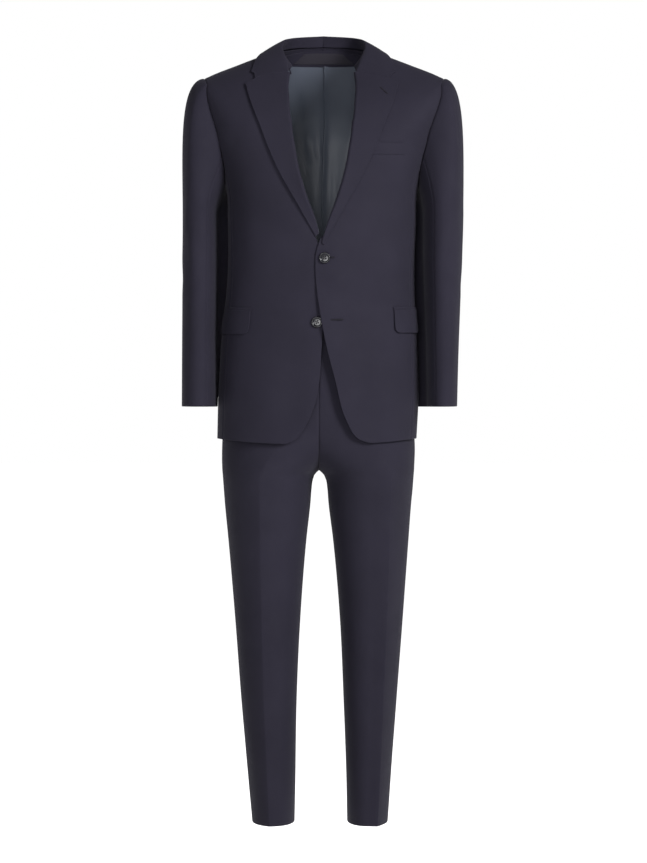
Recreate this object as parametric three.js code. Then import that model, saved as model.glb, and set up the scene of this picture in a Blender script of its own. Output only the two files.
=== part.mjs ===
// A man's two-piece suit, filled out as if worn: a single-breasted jacket with two buttons, notch
// lapels, flap pockets and a breast welt, over flat-fronted trousers with pressed creases.
//
// Units are millimetres. +Z is up, the front faces -Y and +X is the wearer's left. The origin is
// the middle of the neck at shoulder height, where the wearer carries the suit.
//
// Every piece of cloth is a thin closed wall. The jacket's body is one smooth form, addressed by an
// angle round the body (0 at the front, 90 at the wearer's left, 180 at the back) and a row number
// that climbs from the hem to the neck. Each panel is a patch of that form between its own seams.

import * as THREE from "three";

// ---------------------------------------------------------------- driving sizes

const JACKET_WALL = 2.0; // cloth, canvas and lining together
const SLEEVE_WALL = 1.8;
const LAPEL_WALL = 2.2;
const TROUSER_WALL = 1.4;
const LINING_WALL = 1.0;
const LAY_GAP = 0.6; // left open under a piece that lies on another

const BUTTON_RADIUS = 10.8;
const BUTTON_THICKNESS = 4.2;

const BODY_SQUARENESS = 2.5; // superellipse exponent of the jacket's rings
const LEG_SQUARENESS = 2.15;
const SLEEVE_SQUARENESS = 2.2;

const WALL_BESIDE_FLY = 0.2; // half the gap at the trousers' centre seams

const toRad = THREE.MathUtils.degToRad;

// ---------------------------------------------------------------- tables

// Rings of the jacket's body. side, front and back are the ring's height there. half is its half
// width, deep_front and deep_back how far it stands before and behind, and middle its centre.
const BODY_ROWS = [
  { name: "hem", side: -734, front: -745, back: -738, half: 194, deep_front: 129, deep_back: 131, middle: -7 },
  { name: "hip", side: -650, front: -655, back: -650, half: 195, deep_front: 128, deep_back: 130, middle: -4 },
  { name: "pocket", side: -530, front: -535, back: -530, half: 190, deep_front: 125, deep_back: 117, middle: -2 },
  { name: "waist", side: -420, front: -425, back: -420, half: 182, deep_front: 124, deep_back: 106, middle: 1 },
  { name: "midriff", side: -325, front: -330, back: -325, half: 183, deep_front: 129, deep_back: 110, middle: 3 },
  { name: "armpit", side: -243, front: -252, back: -243, half: 188, deep_front: 134, deep_back: 121, middle: 3 },
  { name: "armhole", side: -142, front: -200, back: -170, half: 222, deep_front: 132, deep_back: 122, middle: 5 },
  { name: "tip", side: -38, front: -152, back: -118, half: 238, deep_front: 124, deep_back: 117, middle: 7 },
  { name: "shoulder", side: -30.5, front: -134, back: -100, half: 224, deep_front: 120, deep_back: 113, middle: 7 },
  { name: "yoke", side: -7, front: -86, back: -40, half: 166, deep_front: 98, deep_back: 92, middle: 7 },
  { name: "neck", side: 24, front: -44, back: 37, half: 86, deep_front: 66, deep_back: 62, middle: 6 },
];
const HEM_ROW = 0;
const ARMPIT_ROW = 5;
const SHOULDER_ROW = 7.4; // the top of the armhole
const NECK_ROW = 10;

// Sleeve rings below the cap, from the cuff up: outside and inside are distances from the middle,
// and lean is how far the inner side's rear half comes in towards the body.
const SLEEVE_ROWS = {
  left: [
    { z: -672, outside: 264, inside: 206.5, front: -104, back: 30, lean: 22 },
    { z: -575, outside: 267, inside: 205.5, front: -99, back: 42, lean: 23.5 },
    { z: -480, outside: 271, inside: 203, front: -93, back: 56, lean: 26.5 },
    { z: -390, outside: 275, inside: 200.5, front: -88, back: 68, lean: 28 },
    { z: -300, outside: 278, inside: 200, front: -88, back: 74, lean: 25 },
  ],
  right: [
    { z: -672, outside: 268, inside: 202.5, front: -104, back: 30, lean: 7 },
    { z: -575, outside: 268, inside: 202.5, front: -99, back: 42, lean: 13.5 },
    { z: -480, outside: 268, inside: 202.5, front: -93, back: 56, lean: 24.5 },
    { z: -390, outside: 268, inside: 202, front: -88, back: 68, lean: 32 },
    { z: -300, outside: 268, inside: 202, front: -86, back: 74, lean: 31 },
  ],
};
const HEAD_OUT = { left: 0.5, right: 0.58 }; // how strongly the sleeve's head sets out sideways

// Trouser rings, hem to waist. out and in are distances of the leg's outer and inner sides from the
// trousers' middle; above the fork in is negative, and the leg's ring is cut off at the middle.
const TROUSER_MIDDLE = -3;
const LEG_ROWS = [
  { z: -1479, left_out: 134, left_in: 55, right_out: 130, right_in: 47.5, front: -70, back: 73 },
  { z: -1400, left_out: 139.5, left_in: 53.5, right_out: 137, right_in: 46, front: -72, back: 75 },
  { z: -1244, left_out: 151, left_in: 48, right_out: 151, right_in: 43.5, front: -75, back: 77 },
  { z: -1088, left_out: 163, left_in: 41, right_out: 163, right_in: 36.5, front: -78, back: 84 },
  { z: -932, left_out: 174.5, left_in: 27.5, right_out: 176.5, right_in: 24.5, front: -90, back: 102 },
  { z: -854, left_out: 180.5, left_in: 18, right_out: 184, right_in: 16, front: -99, back: 112 },
  { z: -834, left_out: 182.5, left_in: 16.5, right_out: 185.5, right_in: 14.5, front: -102, back: 115 },
  { z: -812, left_out: 184.2, left_in: 12.5, right_out: 187.2, right_in: 11, front: -105, back: 118 },
  { z: -802, left_out: 185, left_in: 7, right_out: 188, right_in: 6.5, front: -106, back: 119 },
  { z: -797, left_out: 185.5, left_in: 0.9, right_out: 188.5, right_in: 0.9, front: -107, back: 120 },
  { z: -784, left_out: 186, left_in: -16, right_out: 189, right_in: -16, front: -108, back: 119 },
  { z: -755, left_out: 187, left_in: -60, right_out: 189, right_in: -60, front: -110, back: 119 },
  { z: -715, left_out: 185, left_in: -120, right_out: 187, right_in: -120, front: -112, back: 118 },
  { z: -660, left_out: 179, left_in: -179, right_out: 180, right_in: -180, front: -113, back: 115 },
  { z: -600, left_out: 168, left_in: -168, right_out: 168, right_in: -168, front: -112, back: 111 },
  { z: -553, left_out: 156, left_in: -156, right_out: 156, right_in: -156, front: -110, back: 104 },
  { z: -515, left_out: 150, left_in: -150, right_out: 150, right_in: -150, front: -109, back: 102 },
];
const LEG_STEPS = [
  -1479, -1400, -1244, -1088, -1000, -932, -870, -834, -812, -802, -797, -784, -755, -715, -660, -600, -553.2,
];
const WAISTBAND_STEPS = [-552.8, -515];
const CREASES = {
  left: { front: 64, back: -104 },
  right: { front: 82, back: -96 },
};
const CREASE_RIDGE = 5.5; // how far a pressed crease stands out of the leg's round
const CREASE_TOP = -640;
const CREASE_FULL = -900;

// Front edges seen from the front, from the middle of the rounded corner at the hem, up the edge to
// the lapel's break and along the roll line to the gorge. Each row is a point of the edge.
const OVER_EDGE = [
  { x: 60.5, z: -723 }, { x: 44, z: -688 }, { x: 28.5, z: -626.5 }, { x: 13.5, z: -568.5 }, { x: 3.5, z: -521.5 },
  { x: -3.5, z: -479.5 }, { x: -8.5, z: -438 }, { x: -10, z: -404 }, { x: -8.5, z: -380.5 }, { x: -3, z: -362 },
  { x: 11.5, z: -324.5 }, { x: 29.5, z: -275.5 }, { x: 42, z: -228.5 }, { x: 52.5, z: -175 }, { x: 62.5, z: -116.5 },
  { x: 71, z: -39.5 },
];
const UNDER_EDGE = [
  { x: -35, z: -722 }, { x: -20, z: -694.5 }, { x: -8.5, z: -661.5 }, { x: -1, z: -615 }, { x: 1, z: -582 },
  { x: 4, z: -540 }, { x: 7, z: -486.5 }, { x: 8, z: -433 }, { x: 7, z: -394 }, { x: 0, z: -374 },
  { x: -6.5, z: -358.5 }, { x: -19.5, z: -323.5 }, { x: -36.5, z: -271.5 }, { x: -47.5, z: -222.5 },
  { x: -53.5, z: -175 }, { x: -58.5, z: -116.5 }, { x: -65, z: -39.5 },
];
const OVER_HEM = [
  { x: 60.5, z: -723 }, { x: 72, z: -734.5 }, { x: 88, z: -741 }, { x: 107.5, z: -743.5 }, { x: 137, z: -741.5 },
];
const UNDER_HEM = [
  { x: -35, z: -722 }, { x: -44.5, z: -733.5 }, { x: -62, z: -743 }, { x: -87.5, z: -746.5 }, { x: -136.5, z: -742.5 },
];

// Seams that run down the body, as angles from the front.
const FRONT_SEAM = [
  { row: 0, angle: 66 }, { row: 2, angle: 66 }, { row: 3, angle: 68 }, { row: 4, angle: 71 },
];
const BACK_SEAM = [
  { row: 0, angle: 122 }, { row: 2, angle: 121 }, { row: 3, angle: 118 }, { row: 4, angle: 113 },
];

// The armhole runs round the form from the shoulder point (0) by the front to the armpit (180).
const ARMHOLE_REACH_FRONT = 28; // degrees round the body, before and behind the arm
const ARMHOLE_REACH_BACK = 30;
const FRONT_SEAM_AT = 140; // where the two body seams meet the armhole
const BACK_SEAM_AT = 225;
const SEAM_SHARE = 0.7; // the part of a panel's side that is seam; the rest is armhole
const SEAM_ROWS = 9;
const ARMHOLE_ROWS = 5;

// ---------------------------------------------------------------- small helpers

// A table's column at a place, smoothly between its rows (cubic Hermite, rows in rising order). The
// slope at a row leans to that of the shorter step beside it.
function smooth(rows, key, column, at) {
  const last = rows.length - 1;
  const place = THREE.MathUtils.clamp(at, rows[0][key], rows[last][key]);
  let i = 0;
  while (i < last - 1 && place > rows[i + 1][key]) i++;
  const slope = (a, b) => (rows[b][column] - rows[a][column]) / (rows[b][key] - rows[a][key]);
  const step = rows[i + 1][key] - rows[i][key];
  const t = (place - rows[i][key]) / step;
  const here = slope(i, i + 1);
  const blend = (a, b, c) => {
    const near = rows[b][key] - rows[a][key];
    const far = rows[c][key] - rows[b][key];
    return (slope(a, b) * far + slope(b, c) * near) / (near + far);
  };
  const before = i > 0 ? blend(i - 1, i, i + 1) : here;
  const after = i + 2 <= last ? blend(i, i + 1, i + 2) : here;
  const t2 = t * t;
  const t3 = t2 * t;
  return (
    (2 * t3 - 3 * t2 + 1) * rows[i][column] +
    (t3 - 2 * t2 + t) * step * before +
    (3 * t2 - 2 * t3) * rows[i + 1][column] +
    (t3 - t2) * step * after
  );
}

const power = (value, exponent) => Math.sign(value) * Math.abs(value) ** exponent;
const mix = (a, b, t) => a + (b - a) * t;
const range = (count) => Array.from({ length: count + 1 }, (_, i) => i / count);

// Each ring's distance up the body: the mean of the steps at its side and at its front.
let climbed = 0;
const climbing = BODY_ROWS.map((row, index) => {
  if (index > 0) {
    const low = BODY_ROWS[index - 1];
    const atSide = Math.hypot(row.side - low.side, row.half - low.half);
    const atFront = Math.hypot(row.front - low.front, row.deep_front - low.deep_front);
    climbed += (atSide + atFront) / 2;
  }
  return { ...row, climbed };
});
function climb(row) {
  const low = THREE.MathUtils.clamp(Math.floor(row), 0, BODY_ROWS.length - 2);
  return mix(climbing[low].climbed, climbing[low + 1].climbed, row - low);
}

// ---------------------------------------------------------------- the jacket's form

function body(angle, row) {
  const height = climb(row);
  const at = (column) => smooth(climbing, "climbed", column, height);
  const a = toRad(angle);
  const s = Math.sin(a);
  const c = Math.cos(a);
  const e = 2 / BODY_SQUARENESS;
  const end = c > 0 ? at("front") : at("back");
  const deep = c > 0 ? -at("deep_front") : at("deep_back");
  return new THREE.Vector3(
    at("middle") + at("half") * power(s, e),
    deep * Math.abs(c) ** e,
    mix(at("side"), end, c * c),
  );
}

// The form's outward direction at a place.
function bodyNormal(angle, row) {
  const step = 0.6;
  const across = body(angle + step, row).sub(body(angle - step, row));
  const low = Math.max(row - 0.05, HEM_ROW);
  const high = Math.min(row + 0.05, NECK_ROW);
  const up = body(angle, high).sub(body(angle, low));
  return across.cross(up).normalize();
}

// The place on the form's front that is seen at x, z from the front.
function seenAt(x, z) {
  let row = 4;
  let angle = 0;
  for (let turn = 0; turn < 40; turn++) {
    const p = body(angle, row);
    const d = 0.01;
    const byAngle = body(angle + d, row).sub(p).divideScalar(d);
    const byRow = body(angle, row + d).sub(p).divideScalar(d);
    const det = byAngle.x * byRow.z - byRow.x * byAngle.z;
    const dx = x - p.x;
    const dz = z - p.z;
    const limit = (value, most) => THREE.MathUtils.clamp(value, -most, most);
    angle = limit(angle + limit((dx * byRow.z - byRow.x * dz) / det, 12), 89);
    row = THREE.MathUtils.clamp(row + limit((byAngle.x * dz - dx * byAngle.z) / det, 0.8), 0, NECK_ROW - 0.02);
  }
  return { angle, row };
}

// Places along a smooth curve through points that are seen from the front.
function seenCurve(points) {
  const curve = new THREE.CatmullRomCurve3(points.map((p) => new THREE.Vector3(p.x, p.z, 0)), false, "centripetal");
  return curve.getSpacedPoints(48).map((p) => seenAt(p.x, p.y));
}

// A smooth line through places on the form, by share of its length from 0 to 1.
function lineThrough(places) {
  let far = 0;
  const rows = places.map((p, i) => {
    if (i > 0) far += body(p.angle, p.row).distanceTo(body(places[i - 1].angle, places[i - 1].row));
    return { ...p, far };
  });
  return (share) => ({
    angle: smooth(rows, "far", "angle", share * far),
    row: smooth(rows, "far", "row", share * far),
  });
}

// A patch between four lines on the form (Coons): bottom and top run the same way, as do the sides.
function patch(bottom, top, start, end) {
  const corners = [bottom(0), bottom(1), top(0), top(1)];
  return (s, t) => {
    const part = (key) =>
      mix(start(t)[key], end(t)[key], s) +
      mix(bottom(s)[key], top(s)[key], t) -
      mix(mix(corners[0][key], corners[1][key], s), mix(corners[2][key], corners[3][key], s), t);
    return { angle: part("angle"), row: part("row") };
  };
}

// ---------------------------------------------------------------- solids

// A closed wall between two grids of points that match.
function wall(outer, inner) {
  const rows = outer.length;
  const columns = outer[0].length;
  const points = [...outer.flat(), ...inner.flat()];
  const at = (i, j, layer) => layer * rows * columns + i * columns + j;
  const faces = [];
  const quad = (a, b, c, d) => faces.push(a, b, c, a, c, d);
  for (let i = 0; i < rows - 1; i++)
    for (let j = 0; j < columns - 1; j++) {
      quad(at(i, j, 0), at(i, j + 1, 0), at(i + 1, j + 1, 0), at(i + 1, j, 0));
      quad(at(i, j, 1), at(i + 1, j, 1), at(i + 1, j + 1, 1), at(i, j + 1, 1));
    }
  for (let i = 0; i < rows - 1; i++) {
    quad(at(i, 0, 0), at(i + 1, 0, 0), at(i + 1, 0, 1), at(i, 0, 1));
    quad(at(i, columns - 1, 0), at(i, columns - 1, 1), at(i + 1, columns - 1, 1), at(i + 1, columns - 1, 0));
  }
  for (let j = 0; j < columns - 1; j++) {
    quad(at(0, j, 0), at(0, j, 1), at(0, j + 1, 1), at(0, j + 1, 0));
    quad(at(rows - 1, j, 0), at(rows - 1, j + 1, 0), at(rows - 1, j + 1, 1), at(rows - 1, j, 1));
  }
  const volume = faces.reduce((sum, _, k) => {
    if (k % 3) return sum;
    const [a, b, c] = [0, 1, 2].map((n) => points[faces[k + n]]);
    return sum + a.dot(new THREE.Vector3().crossVectors(b, c));
  }, 0);
  if (volume < 0) faces.reverse();
  const geometry = new THREE.BufferGeometry();
  geometry.setAttribute("position", new THREE.Float32BufferAttribute(points.flatMap((p) => p.toArray()), 3));
  geometry.setIndex(faces);
  geometry.computeVertexNormals();
  return geometry;
}

// A wall on the jacket's form. place(s, t) gives the place, lift(place, s, t) how far its outer face
// stands off the form.
function bodyWall(place, shares, steps, thickness, lift = () => 0) {
  const outer = [];
  const inner = [];
  for (const t of steps) {
    const line = shares.map((s) => {
      const p = place(s, t);
      const normal = bodyNormal(p.angle, p.row);
      const out = lift(p, s, t);
      const point = body(p.angle, p.row);
      return [point.clone().addScaledVector(normal, out), point.addScaledVector(normal, out - thickness)];
    });
    outer.push(line.map((pair) => pair[0]));
    inner.push(line.map((pair) => pair[1]));
  }
  return wall(outer, inner);
}

const suit = new THREE.Group();
const CLOTH = { color: 0x2b2a38, roughness: 0.85, metalness: 0 };
const LINING = { color: 0x34383f, roughness: 0.45, metalness: 0 };
const HORN = { color: 0x15151b, roughness: 0.2, metalness: 0 };

function add(name, geometry, finish) {
  const mesh = new THREE.Mesh(geometry, new THREE.MeshStandardMaterial({ ...finish, side: THREE.FrontSide }));
  mesh.name = name;
  suit.add(mesh);
  return mesh;
}

// ---------------------------------------------------------------- jacket body

const SIDES = { left: 1, right: -1 }; // the wearer's own sides

// A place on the armhole of one side; turn runs from 0 at the shoulder by the front, in degrees.
// inset moves it into the armhole, in millimetres.
function armhole(sign, turn, inset = 0) {
  const a = toRad(turn);
  const reach = (Math.sin(a) > 0 ? ARMHOLE_REACH_FRONT : ARMHOLE_REACH_BACK) - inset / 3.5;
  const tall = 1 - inset / 100;
  const row = mix(ARMPIT_ROW, SHOULDER_ROW, 0.5 + (tall * Math.cos(a)) / 2);
  return { angle: sign * (90 - reach * Math.sin(a)), row };
}

// A seam down one side of the body, from the hem to where it meets the armhole. nudge moves it
// round the body by half a seam's gap.
function bodySeam(table, meets, sign, nudge) {
  const top = armhole(1, meets);
  const rows = [...table, { row: top.row, angle: top.angle }];
  const places = range(8).map((share) => {
    const row = share * top.row;
    return { row, angle: smooth(rows, "row", "angle", row) };
  });
  const line = lineThrough(places.map((p) => ({ row: p.row, angle: sign * p.angle })));
  return (t) => {
    const p = line(t);
    return { angle: p.angle + sign * nudge, row: p.row };
  };
}

const LOWER_BUTTON = { x: -6.5, z: -513 };
const TOP_BUTTON = { x: 8, z: -391 };
const NUDGE = 0.055; // degrees that make half a seam's gap on the body
const CENTRE_NUDGE = 0.008; // the same at the centre back, where the form runs faster with the angle

// The outer side of a front or back panel: up its seam, then up the armhole to the shoulder point.
function seamAndArmhole(seam, sign, from, to, inset = 0) {
  return (t) => {
    if (t <= SEAM_SHARE) return seam(t / SEAM_SHARE);
    return armhole(sign, mix(from, to, (t - SEAM_SHARE) / (1 - SEAM_SHARE)), inset);
  };
}

const PANEL_SHARES = [
  ...range(SEAM_ROWS).map((t) => t * SEAM_SHARE),
  ...range(ARMHOLE_ROWS).slice(1).map((t) => mix(SEAM_SHARE, 1, t)),
];
const SHOULDER_NUDGE = 0.03; // half the gap at the shoulder seam, in degrees
const SHOULDER_TURN = 0.1; // the same at the armhole's top

// The top of a back: round the neck from the centre, then along the shoulder seam.
function neckAndShoulder(sign, neckShare, neckRow, nudge) {
  return (s) => {
    if (s <= neckShare) return { angle: sign * mix(180 - CENTRE_NUDGE, 90 + nudge, s / neckShare), row: neckRow };
    return { angle: sign * (90 + nudge), row: mix(neckRow, SHOULDER_ROW, (s - neckShare) / (1 - neckShare)) };
  };
}

// How far the overlapping front stands off, to clear the front beneath it and its lower button.
const OVERLAP_LIFT = 3.4;
function overlapLift(p) {
  const at = body(p.angle, p.row);
  const near = Math.hypot(at.x - LOWER_BUTTON.x, (at.z - LOWER_BUTTON.z) * 0.7);
  const clear = 4.2 * (1 - THREE.MathUtils.smoothstep(near, 16, 62));
  return OVERLAP_LIFT * THREE.MathUtils.smoothstep(75 - at.x, 0, 58) + clear;
}

function hemLine(points, sign, seam) {
  const end = seam(0);
  const places = seenCurve(points);
  return lineThrough([...places, { angle: mix(places.at(-1).angle, end.angle, 0.55), row: 0.005 }, end]);
}

const NECK_SHARE = 3 / 7;
for (const [side, sign] of Object.entries(SIDES)) {
  const over = side === "left";
  const edge = lineThrough([
    ...seenCurve(over ? OVER_EDGE : UNDER_EDGE),
    { angle: sign * (90 - SHOULDER_NUDGE), row: NECK_ROW - 0.02 },
  ]);
  const frontSeam = bodySeam(FRONT_SEAM, FRONT_SEAM_AT, sign, -NUDGE);
  const hem = hemLine(over ? OVER_HEM : UNDER_HEM, sign, frontSeam);
  const shoulder = (s) => ({
    angle: sign * (90 - SHOULDER_NUDGE),
    row: mix(NECK_ROW - 0.02, SHOULDER_ROW, s),
  });
  const frontSide = seamAndArmhole(frontSeam, sign, FRONT_SEAM_AT, SHOULDER_TURN);
  add(
    `jacket_front_${side}`,
    bodyWall(
      patch(hem, shoulder, edge, frontSide),
      range(8),
      PANEL_SHARES,
      JACKET_WALL,
      over ? overlapLift : undefined,
    ),
    CLOTH,
  );

  // The side body fills the space between the front and the back, up to the armpit.
  const sideFront = bodySeam(FRONT_SEAM, FRONT_SEAM_AT, sign, NUDGE);
  const sideBack = bodySeam(BACK_SEAM, BACK_SEAM_AT, sign, -NUDGE);
  const sideHem = lineThrough([sideFront(0), { angle: sign * 94, row: 0 }, sideBack(0)]);
  const underarm = (s) => armhole(sign, mix(FRONT_SEAM_AT, BACK_SEAM_AT, s));
  add(
    `jacket_side_${side}`,
    bodyWall(patch(sideHem, underarm, sideFront, sideBack), range(4), range(SEAM_ROWS), JACKET_WALL),
    CLOTH,
  );

  // The back runs from the centre seam round to its own seam and the armhole.
  const backSeam = bodySeam(BACK_SEAM, BACK_SEAM_AT, sign, NUDGE);
  const centre = (t) => ({ angle: sign * (180 - CENTRE_NUDGE), row: mix(HEM_ROW, NECK_ROW, t) });
  const backHem = (s) => ({ angle: mix(centre(0).angle, backSeam(0).angle, s), row: HEM_ROW });
  const backSide = seamAndArmhole(backSeam, sign, BACK_SEAM_AT, 360 - SHOULDER_TURN);
  const backTop = neckAndShoulder(sign, NECK_SHARE, NECK_ROW, SHOULDER_NUDGE);
  add(
    `jacket_back_${side}`,
    bodyWall(patch(backHem, backTop, centre, backSide), range(7), PANEL_SHARES, JACKET_WALL),
    CLOTH,
  );
}

// ---------------------------------------------------------------- back lining and label

const LINING_TOP = NECK_ROW - 0.42;
const FACING = { foot: LINING_TOP + 0.07, top: NECK_ROW - 0.1, ends: 2.5, wall: 1.2 };
const liningGap = (row) => mix(1.8, 6, THREE.MathUtils.smoothstep(row, 0.5, 8)); // fuller at the shoulders
for (const [side, sign] of Object.entries(SIDES)) {
  const seam = bodySeam(BACK_SEAM, BACK_SEAM_AT, sign, NUDGE);
  const raised = (t) => seam(mix(0.045, 1, t));
  const centre = (t) => ({ angle: sign * (180 - CENTRE_NUDGE), row: mix(0.25, LINING_TOP, t) });
  const hem = (s) => ({ angle: mix(centre(0).angle, raised(0).angle, s), row: mix(0.25, raised(0).row, s) });
  const top = neckAndShoulder(sign, NECK_SHARE, LINING_TOP, 2.5);
  const outer = seamAndArmhole(raised, sign, BACK_SEAM_AT, 360, -12);
  const place = patch(hem, top, centre, outer);
  add(
    `back_lining_${side}`,
    bodyWall((s, t) => place(s * 0.955, t), range(6), range(9), LINING_WALL, (p) => -JACKET_WALL - liningGap(p.row) - 0.9),
    LINING,
  );
}

// The back neck facing is one band of suiting from shoulder seam to shoulder seam.
add(
  "neck_facing",
  bodyWall(
    (s, t) => ({ angle: mix(90 + FACING.ends, 270 - FACING.ends, s), row: mix(FACING.foot, FACING.top, t) }),
    range(12),
    range(2),
    FACING.wall,
    (p) => -JACKET_WALL - liningGap(p.row),
  ),
  CLOTH,
);

const LABEL = { top_half: 20.5, bottom_half: 28, top_row: 9.88, bottom_row: 9.635, lift: -10.2 };
add(
  "neck_label",
  bodyWall(
    (s, t) => ({
      angle: 180 + mix(-1, 1, s) * mix(LABEL.bottom_half, LABEL.top_half, t),
      row: mix(LABEL.bottom_row, LABEL.top_row, t),
    }),
    range(8),
    range(2),
    0.7,
    () => LABEL.lift,
  ),
  LINING,
);

// ---------------------------------------------------------------- lapels and collar

// Corners seen from the front, as distances from the middle line of the lapels.
const LAPEL_MIDDLE = 3;
const LAPEL_EDGE = [
  { out: 45, z: -291.5 }, { out: 85.5, z: -217.5 }, { out: 120, z: -133.5 }, { out: 138.5, z: -84.5 },
  { out: 146.5, z: -55.5 },
];
const LAPEL_ROLL = [
  { out: 11, z: -324.5 }, { out: 29, z: -275 }, { out: 42, z: -228.5 }, { out: 51.5, z: -175 },
  { out: 59.5, z: -116.5 }, { out: 65, z: -55.5 }, { out: 63, z: -33 },
];
// The lapel over the fastened front starts lower than the one it overlaps.
const LAPEL_FOOT = {
  left: { roll: { out: 0, z: -363 }, edge: { out: 4, z: -367 } },
  right: { roll: { out: 6.5, z: -345 }, edge: { out: 11.5, z: -351.5 } },
};
const GORGE = [{ out: 63, z: -33 }, { out: 122, z: -43 }, { out: 146.5, z: -55.5 }];

const seenLine = (points, sign) =>
  lineThrough(seenCurve(points.map((p) => ({ x: LAPEL_MIDDLE + sign * p.out, z: p.z }))));

for (const [side, sign] of Object.entries(SIDES)) {
  const { roll, edge } = LAPEL_FOOT[side];
  const rollLine = seenLine([roll, ...LAPEL_ROLL], sign);
  const edgeLine = seenLine([edge, ...LAPEL_EDGE], sign);
  const base = side === "left" ? overlapLift : () => 0;
  add(
    `lapel_${side}`,
    bodyWall(
      patch(seenLine([roll, edge], sign), seenLine(GORGE, sign), rollLine, edgeLine),
      range(6),
      range(9),
      LAPEL_WALL,
      (p, s, t) => base(p) + LAPEL_WALL + LAY_GAP + 2.8 * Math.min(1, 4 * t) + 3 * (1 - s) ** 3,
    ),
    CLOTH,
  );
}

// The collar from its front end to the centre back: roll is the fold round the neck, leaf the outer
// edge of the fall and seam the neck seam, as distances out from the middle, back and up.
const COLLAR_MIDDLE = 6;
const COLLAR_ROWS = [
  { at: 0, roll: [62, -67, -29], leaf: [138, -66, -27], seam: [62, -60, -33] },
  { at: 0.2, roll: [72, -46, 3], leaf: [131, -38, 0], seam: [71, -42, -1] },
  { at: 0.45, roll: [77, -8, 38], leaf: [113, 2, 18.5], seam: [84, -2, 25] },
  { at: 0.7, roll: [58, 36, 55], leaf: [84, 57, 15], seam: [66, 46, 33] },
  { at: 1, roll: [0, 59, 63], leaf: [0, 75, 12], seam: [0, 61.5, 38.5] },
];

const GORGE_DIP = 11.5; // the collar's end reaches down to the notch, three quarters of the way out

// The collar's form: t runs round from the front (0) to the centre back (1), s from the fold out.
function collarPoint(sign, from, to, t, s, swell) {
  const column = (name, k) => {
    const rows = COLLAR_ROWS.map((row) => ({ at: row.at, value: row[name][k] }));
    return smooth(rows, "at", "value", t);
  };
  const a = [0, 1, 2].map((k) => column(from, k));
  const b = [0, 1, 2].map((k) => column(to, k));
  const p = a.map((value, k) => mix(value, b[k], s));
  const lift = swell * Math.sin(Math.PI * s);
  const spread = 1 + lift / 100;
  const dip = to === "leaf" ? GORGE_DIP * Math.max(0, 1 - t / 0.2) * Math.min(s / 0.75, (1 - s) / 0.25) : 0;
  return new THREE.Vector3(COLLAR_MIDDLE + sign * p[0] * spread, p[1] + lift * (t - 0.5) - dip * 0.4, p[2] + lift * 0.7 - dip);
}

// A whole band round the neck between two of the collar's lines, as a wall whose far side is moved
// by shift millimetres along the surface's direction.
function collarBand(from, to, lows, swell, thickness, facing) {
  const places = [];
  for (const t of range(10)) places.push({ sign: -1, t });
  for (const t of range(10).reverse().slice(1)) places.push({ sign: 1, t });
  const point = (place, s) => collarPoint(place.sign, from, to, place.t, s, swell);
  const outer = lows.map((s) => places.map((place) => point(place, s)));
  const inner = outer.map((line, i) =>
    line.map((p, j) => {
      const along = line[Math.min(j + 1, line.length - 1)].clone().sub(line[Math.max(j - 1, 0)]);
      const across = outer[Math.min(i + 1, lows.length - 1)][j].clone().sub(outer[Math.max(i - 1, 0)][j]);
      return p.clone().addScaledVector(along.cross(across).normalize(), facing * thickness);
    }),
  );
  return wall(outer, inner);
}

add("collar_fall", collarBand("roll", "leaf", [0, 0.25, 0.5, 0.75, 1], 4, LAPEL_WALL, 1), CLOTH);
add("collar_stand", collarBand("roll", "seam", [0.38, 0.7, 1], 0, JACKET_WALL, 1), CLOTH);

// ---------------------------------------------------------------- sleeves

const SLEEVE_FRONT_SEAM = 122;
const SLEEVE_BACK_SEAM = 248;
const SLEEVE_INSET = 2.3; // how far the head sits inside the armhole's line
const CAP_STEPS = [0, 0.1, 0.22, 0.37, 0.55, 0.76];
const SLEEVE_STEPS = [-300, -345, -390, -435, -480, -530, -600, -672];

function sleeveRing(side, turn, z) {
  const at = (column) => smooth(SLEEVE_ROWS[side], "z", column, z);
  const a = toRad(turn);
  const e = 2 / SLEEVE_SQUARENESS;
  const rearInner = Math.sin(a) < 0 && Math.cos(a) < 0 ? at("lean") * Math.sin(2 * a) ** 2 : 0;
  const x = (at("outside") + at("inside")) / 2 + ((at("outside") - at("inside")) / 2) * power(Math.cos(a), e);
  const y = (at("front") + at("back")) / 2 - ((at("back") - at("front")) / 2) * power(Math.sin(a), e);
  return new THREE.Vector3(SIDES[side] * (x - rearInner), y, z);
}

// down is a share of the cap from 0 to 1, or below that a height.
function sleevePoint(side, turn, down) {
  if (down < 0) return sleeveRing(side, turn, down);
  const sign = SIDES[side];
  const place = armhole(sign, turn, SLEEVE_INSET);
  const start = body(place.angle, place.row).addScaledVector(bodyNormal(place.angle, place.row), 1.2);
  const end = sleeveRing(side, turn, SLEEVE_STEPS[0]);
  const chord = start.distanceTo(end);
  const high = (1 + Math.cos(toRad(turn))) / 2;
  const away = new THREE.Vector3(
    sign * chord * mix(0.12, HEAD_OUT[side], high),
    -chord * 0.22 * Math.sin(toRad(turn)),
    chord * mix(-0.9, -0.03, high),
  );
  const t = down;
  const point = start.multiplyScalar(2 * t ** 3 - 3 * t ** 2 + 1);
  point.addScaledVector(away, t ** 3 - 2 * t ** 2 + t);
  point.addScaledVector(end, 3 * t ** 2 - 2 * t ** 3);
  return point.addScaledVector(new THREE.Vector3(0, 0, -chord * (1 + 0.4 * high)), t ** 3 - t ** 2);
}

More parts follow.
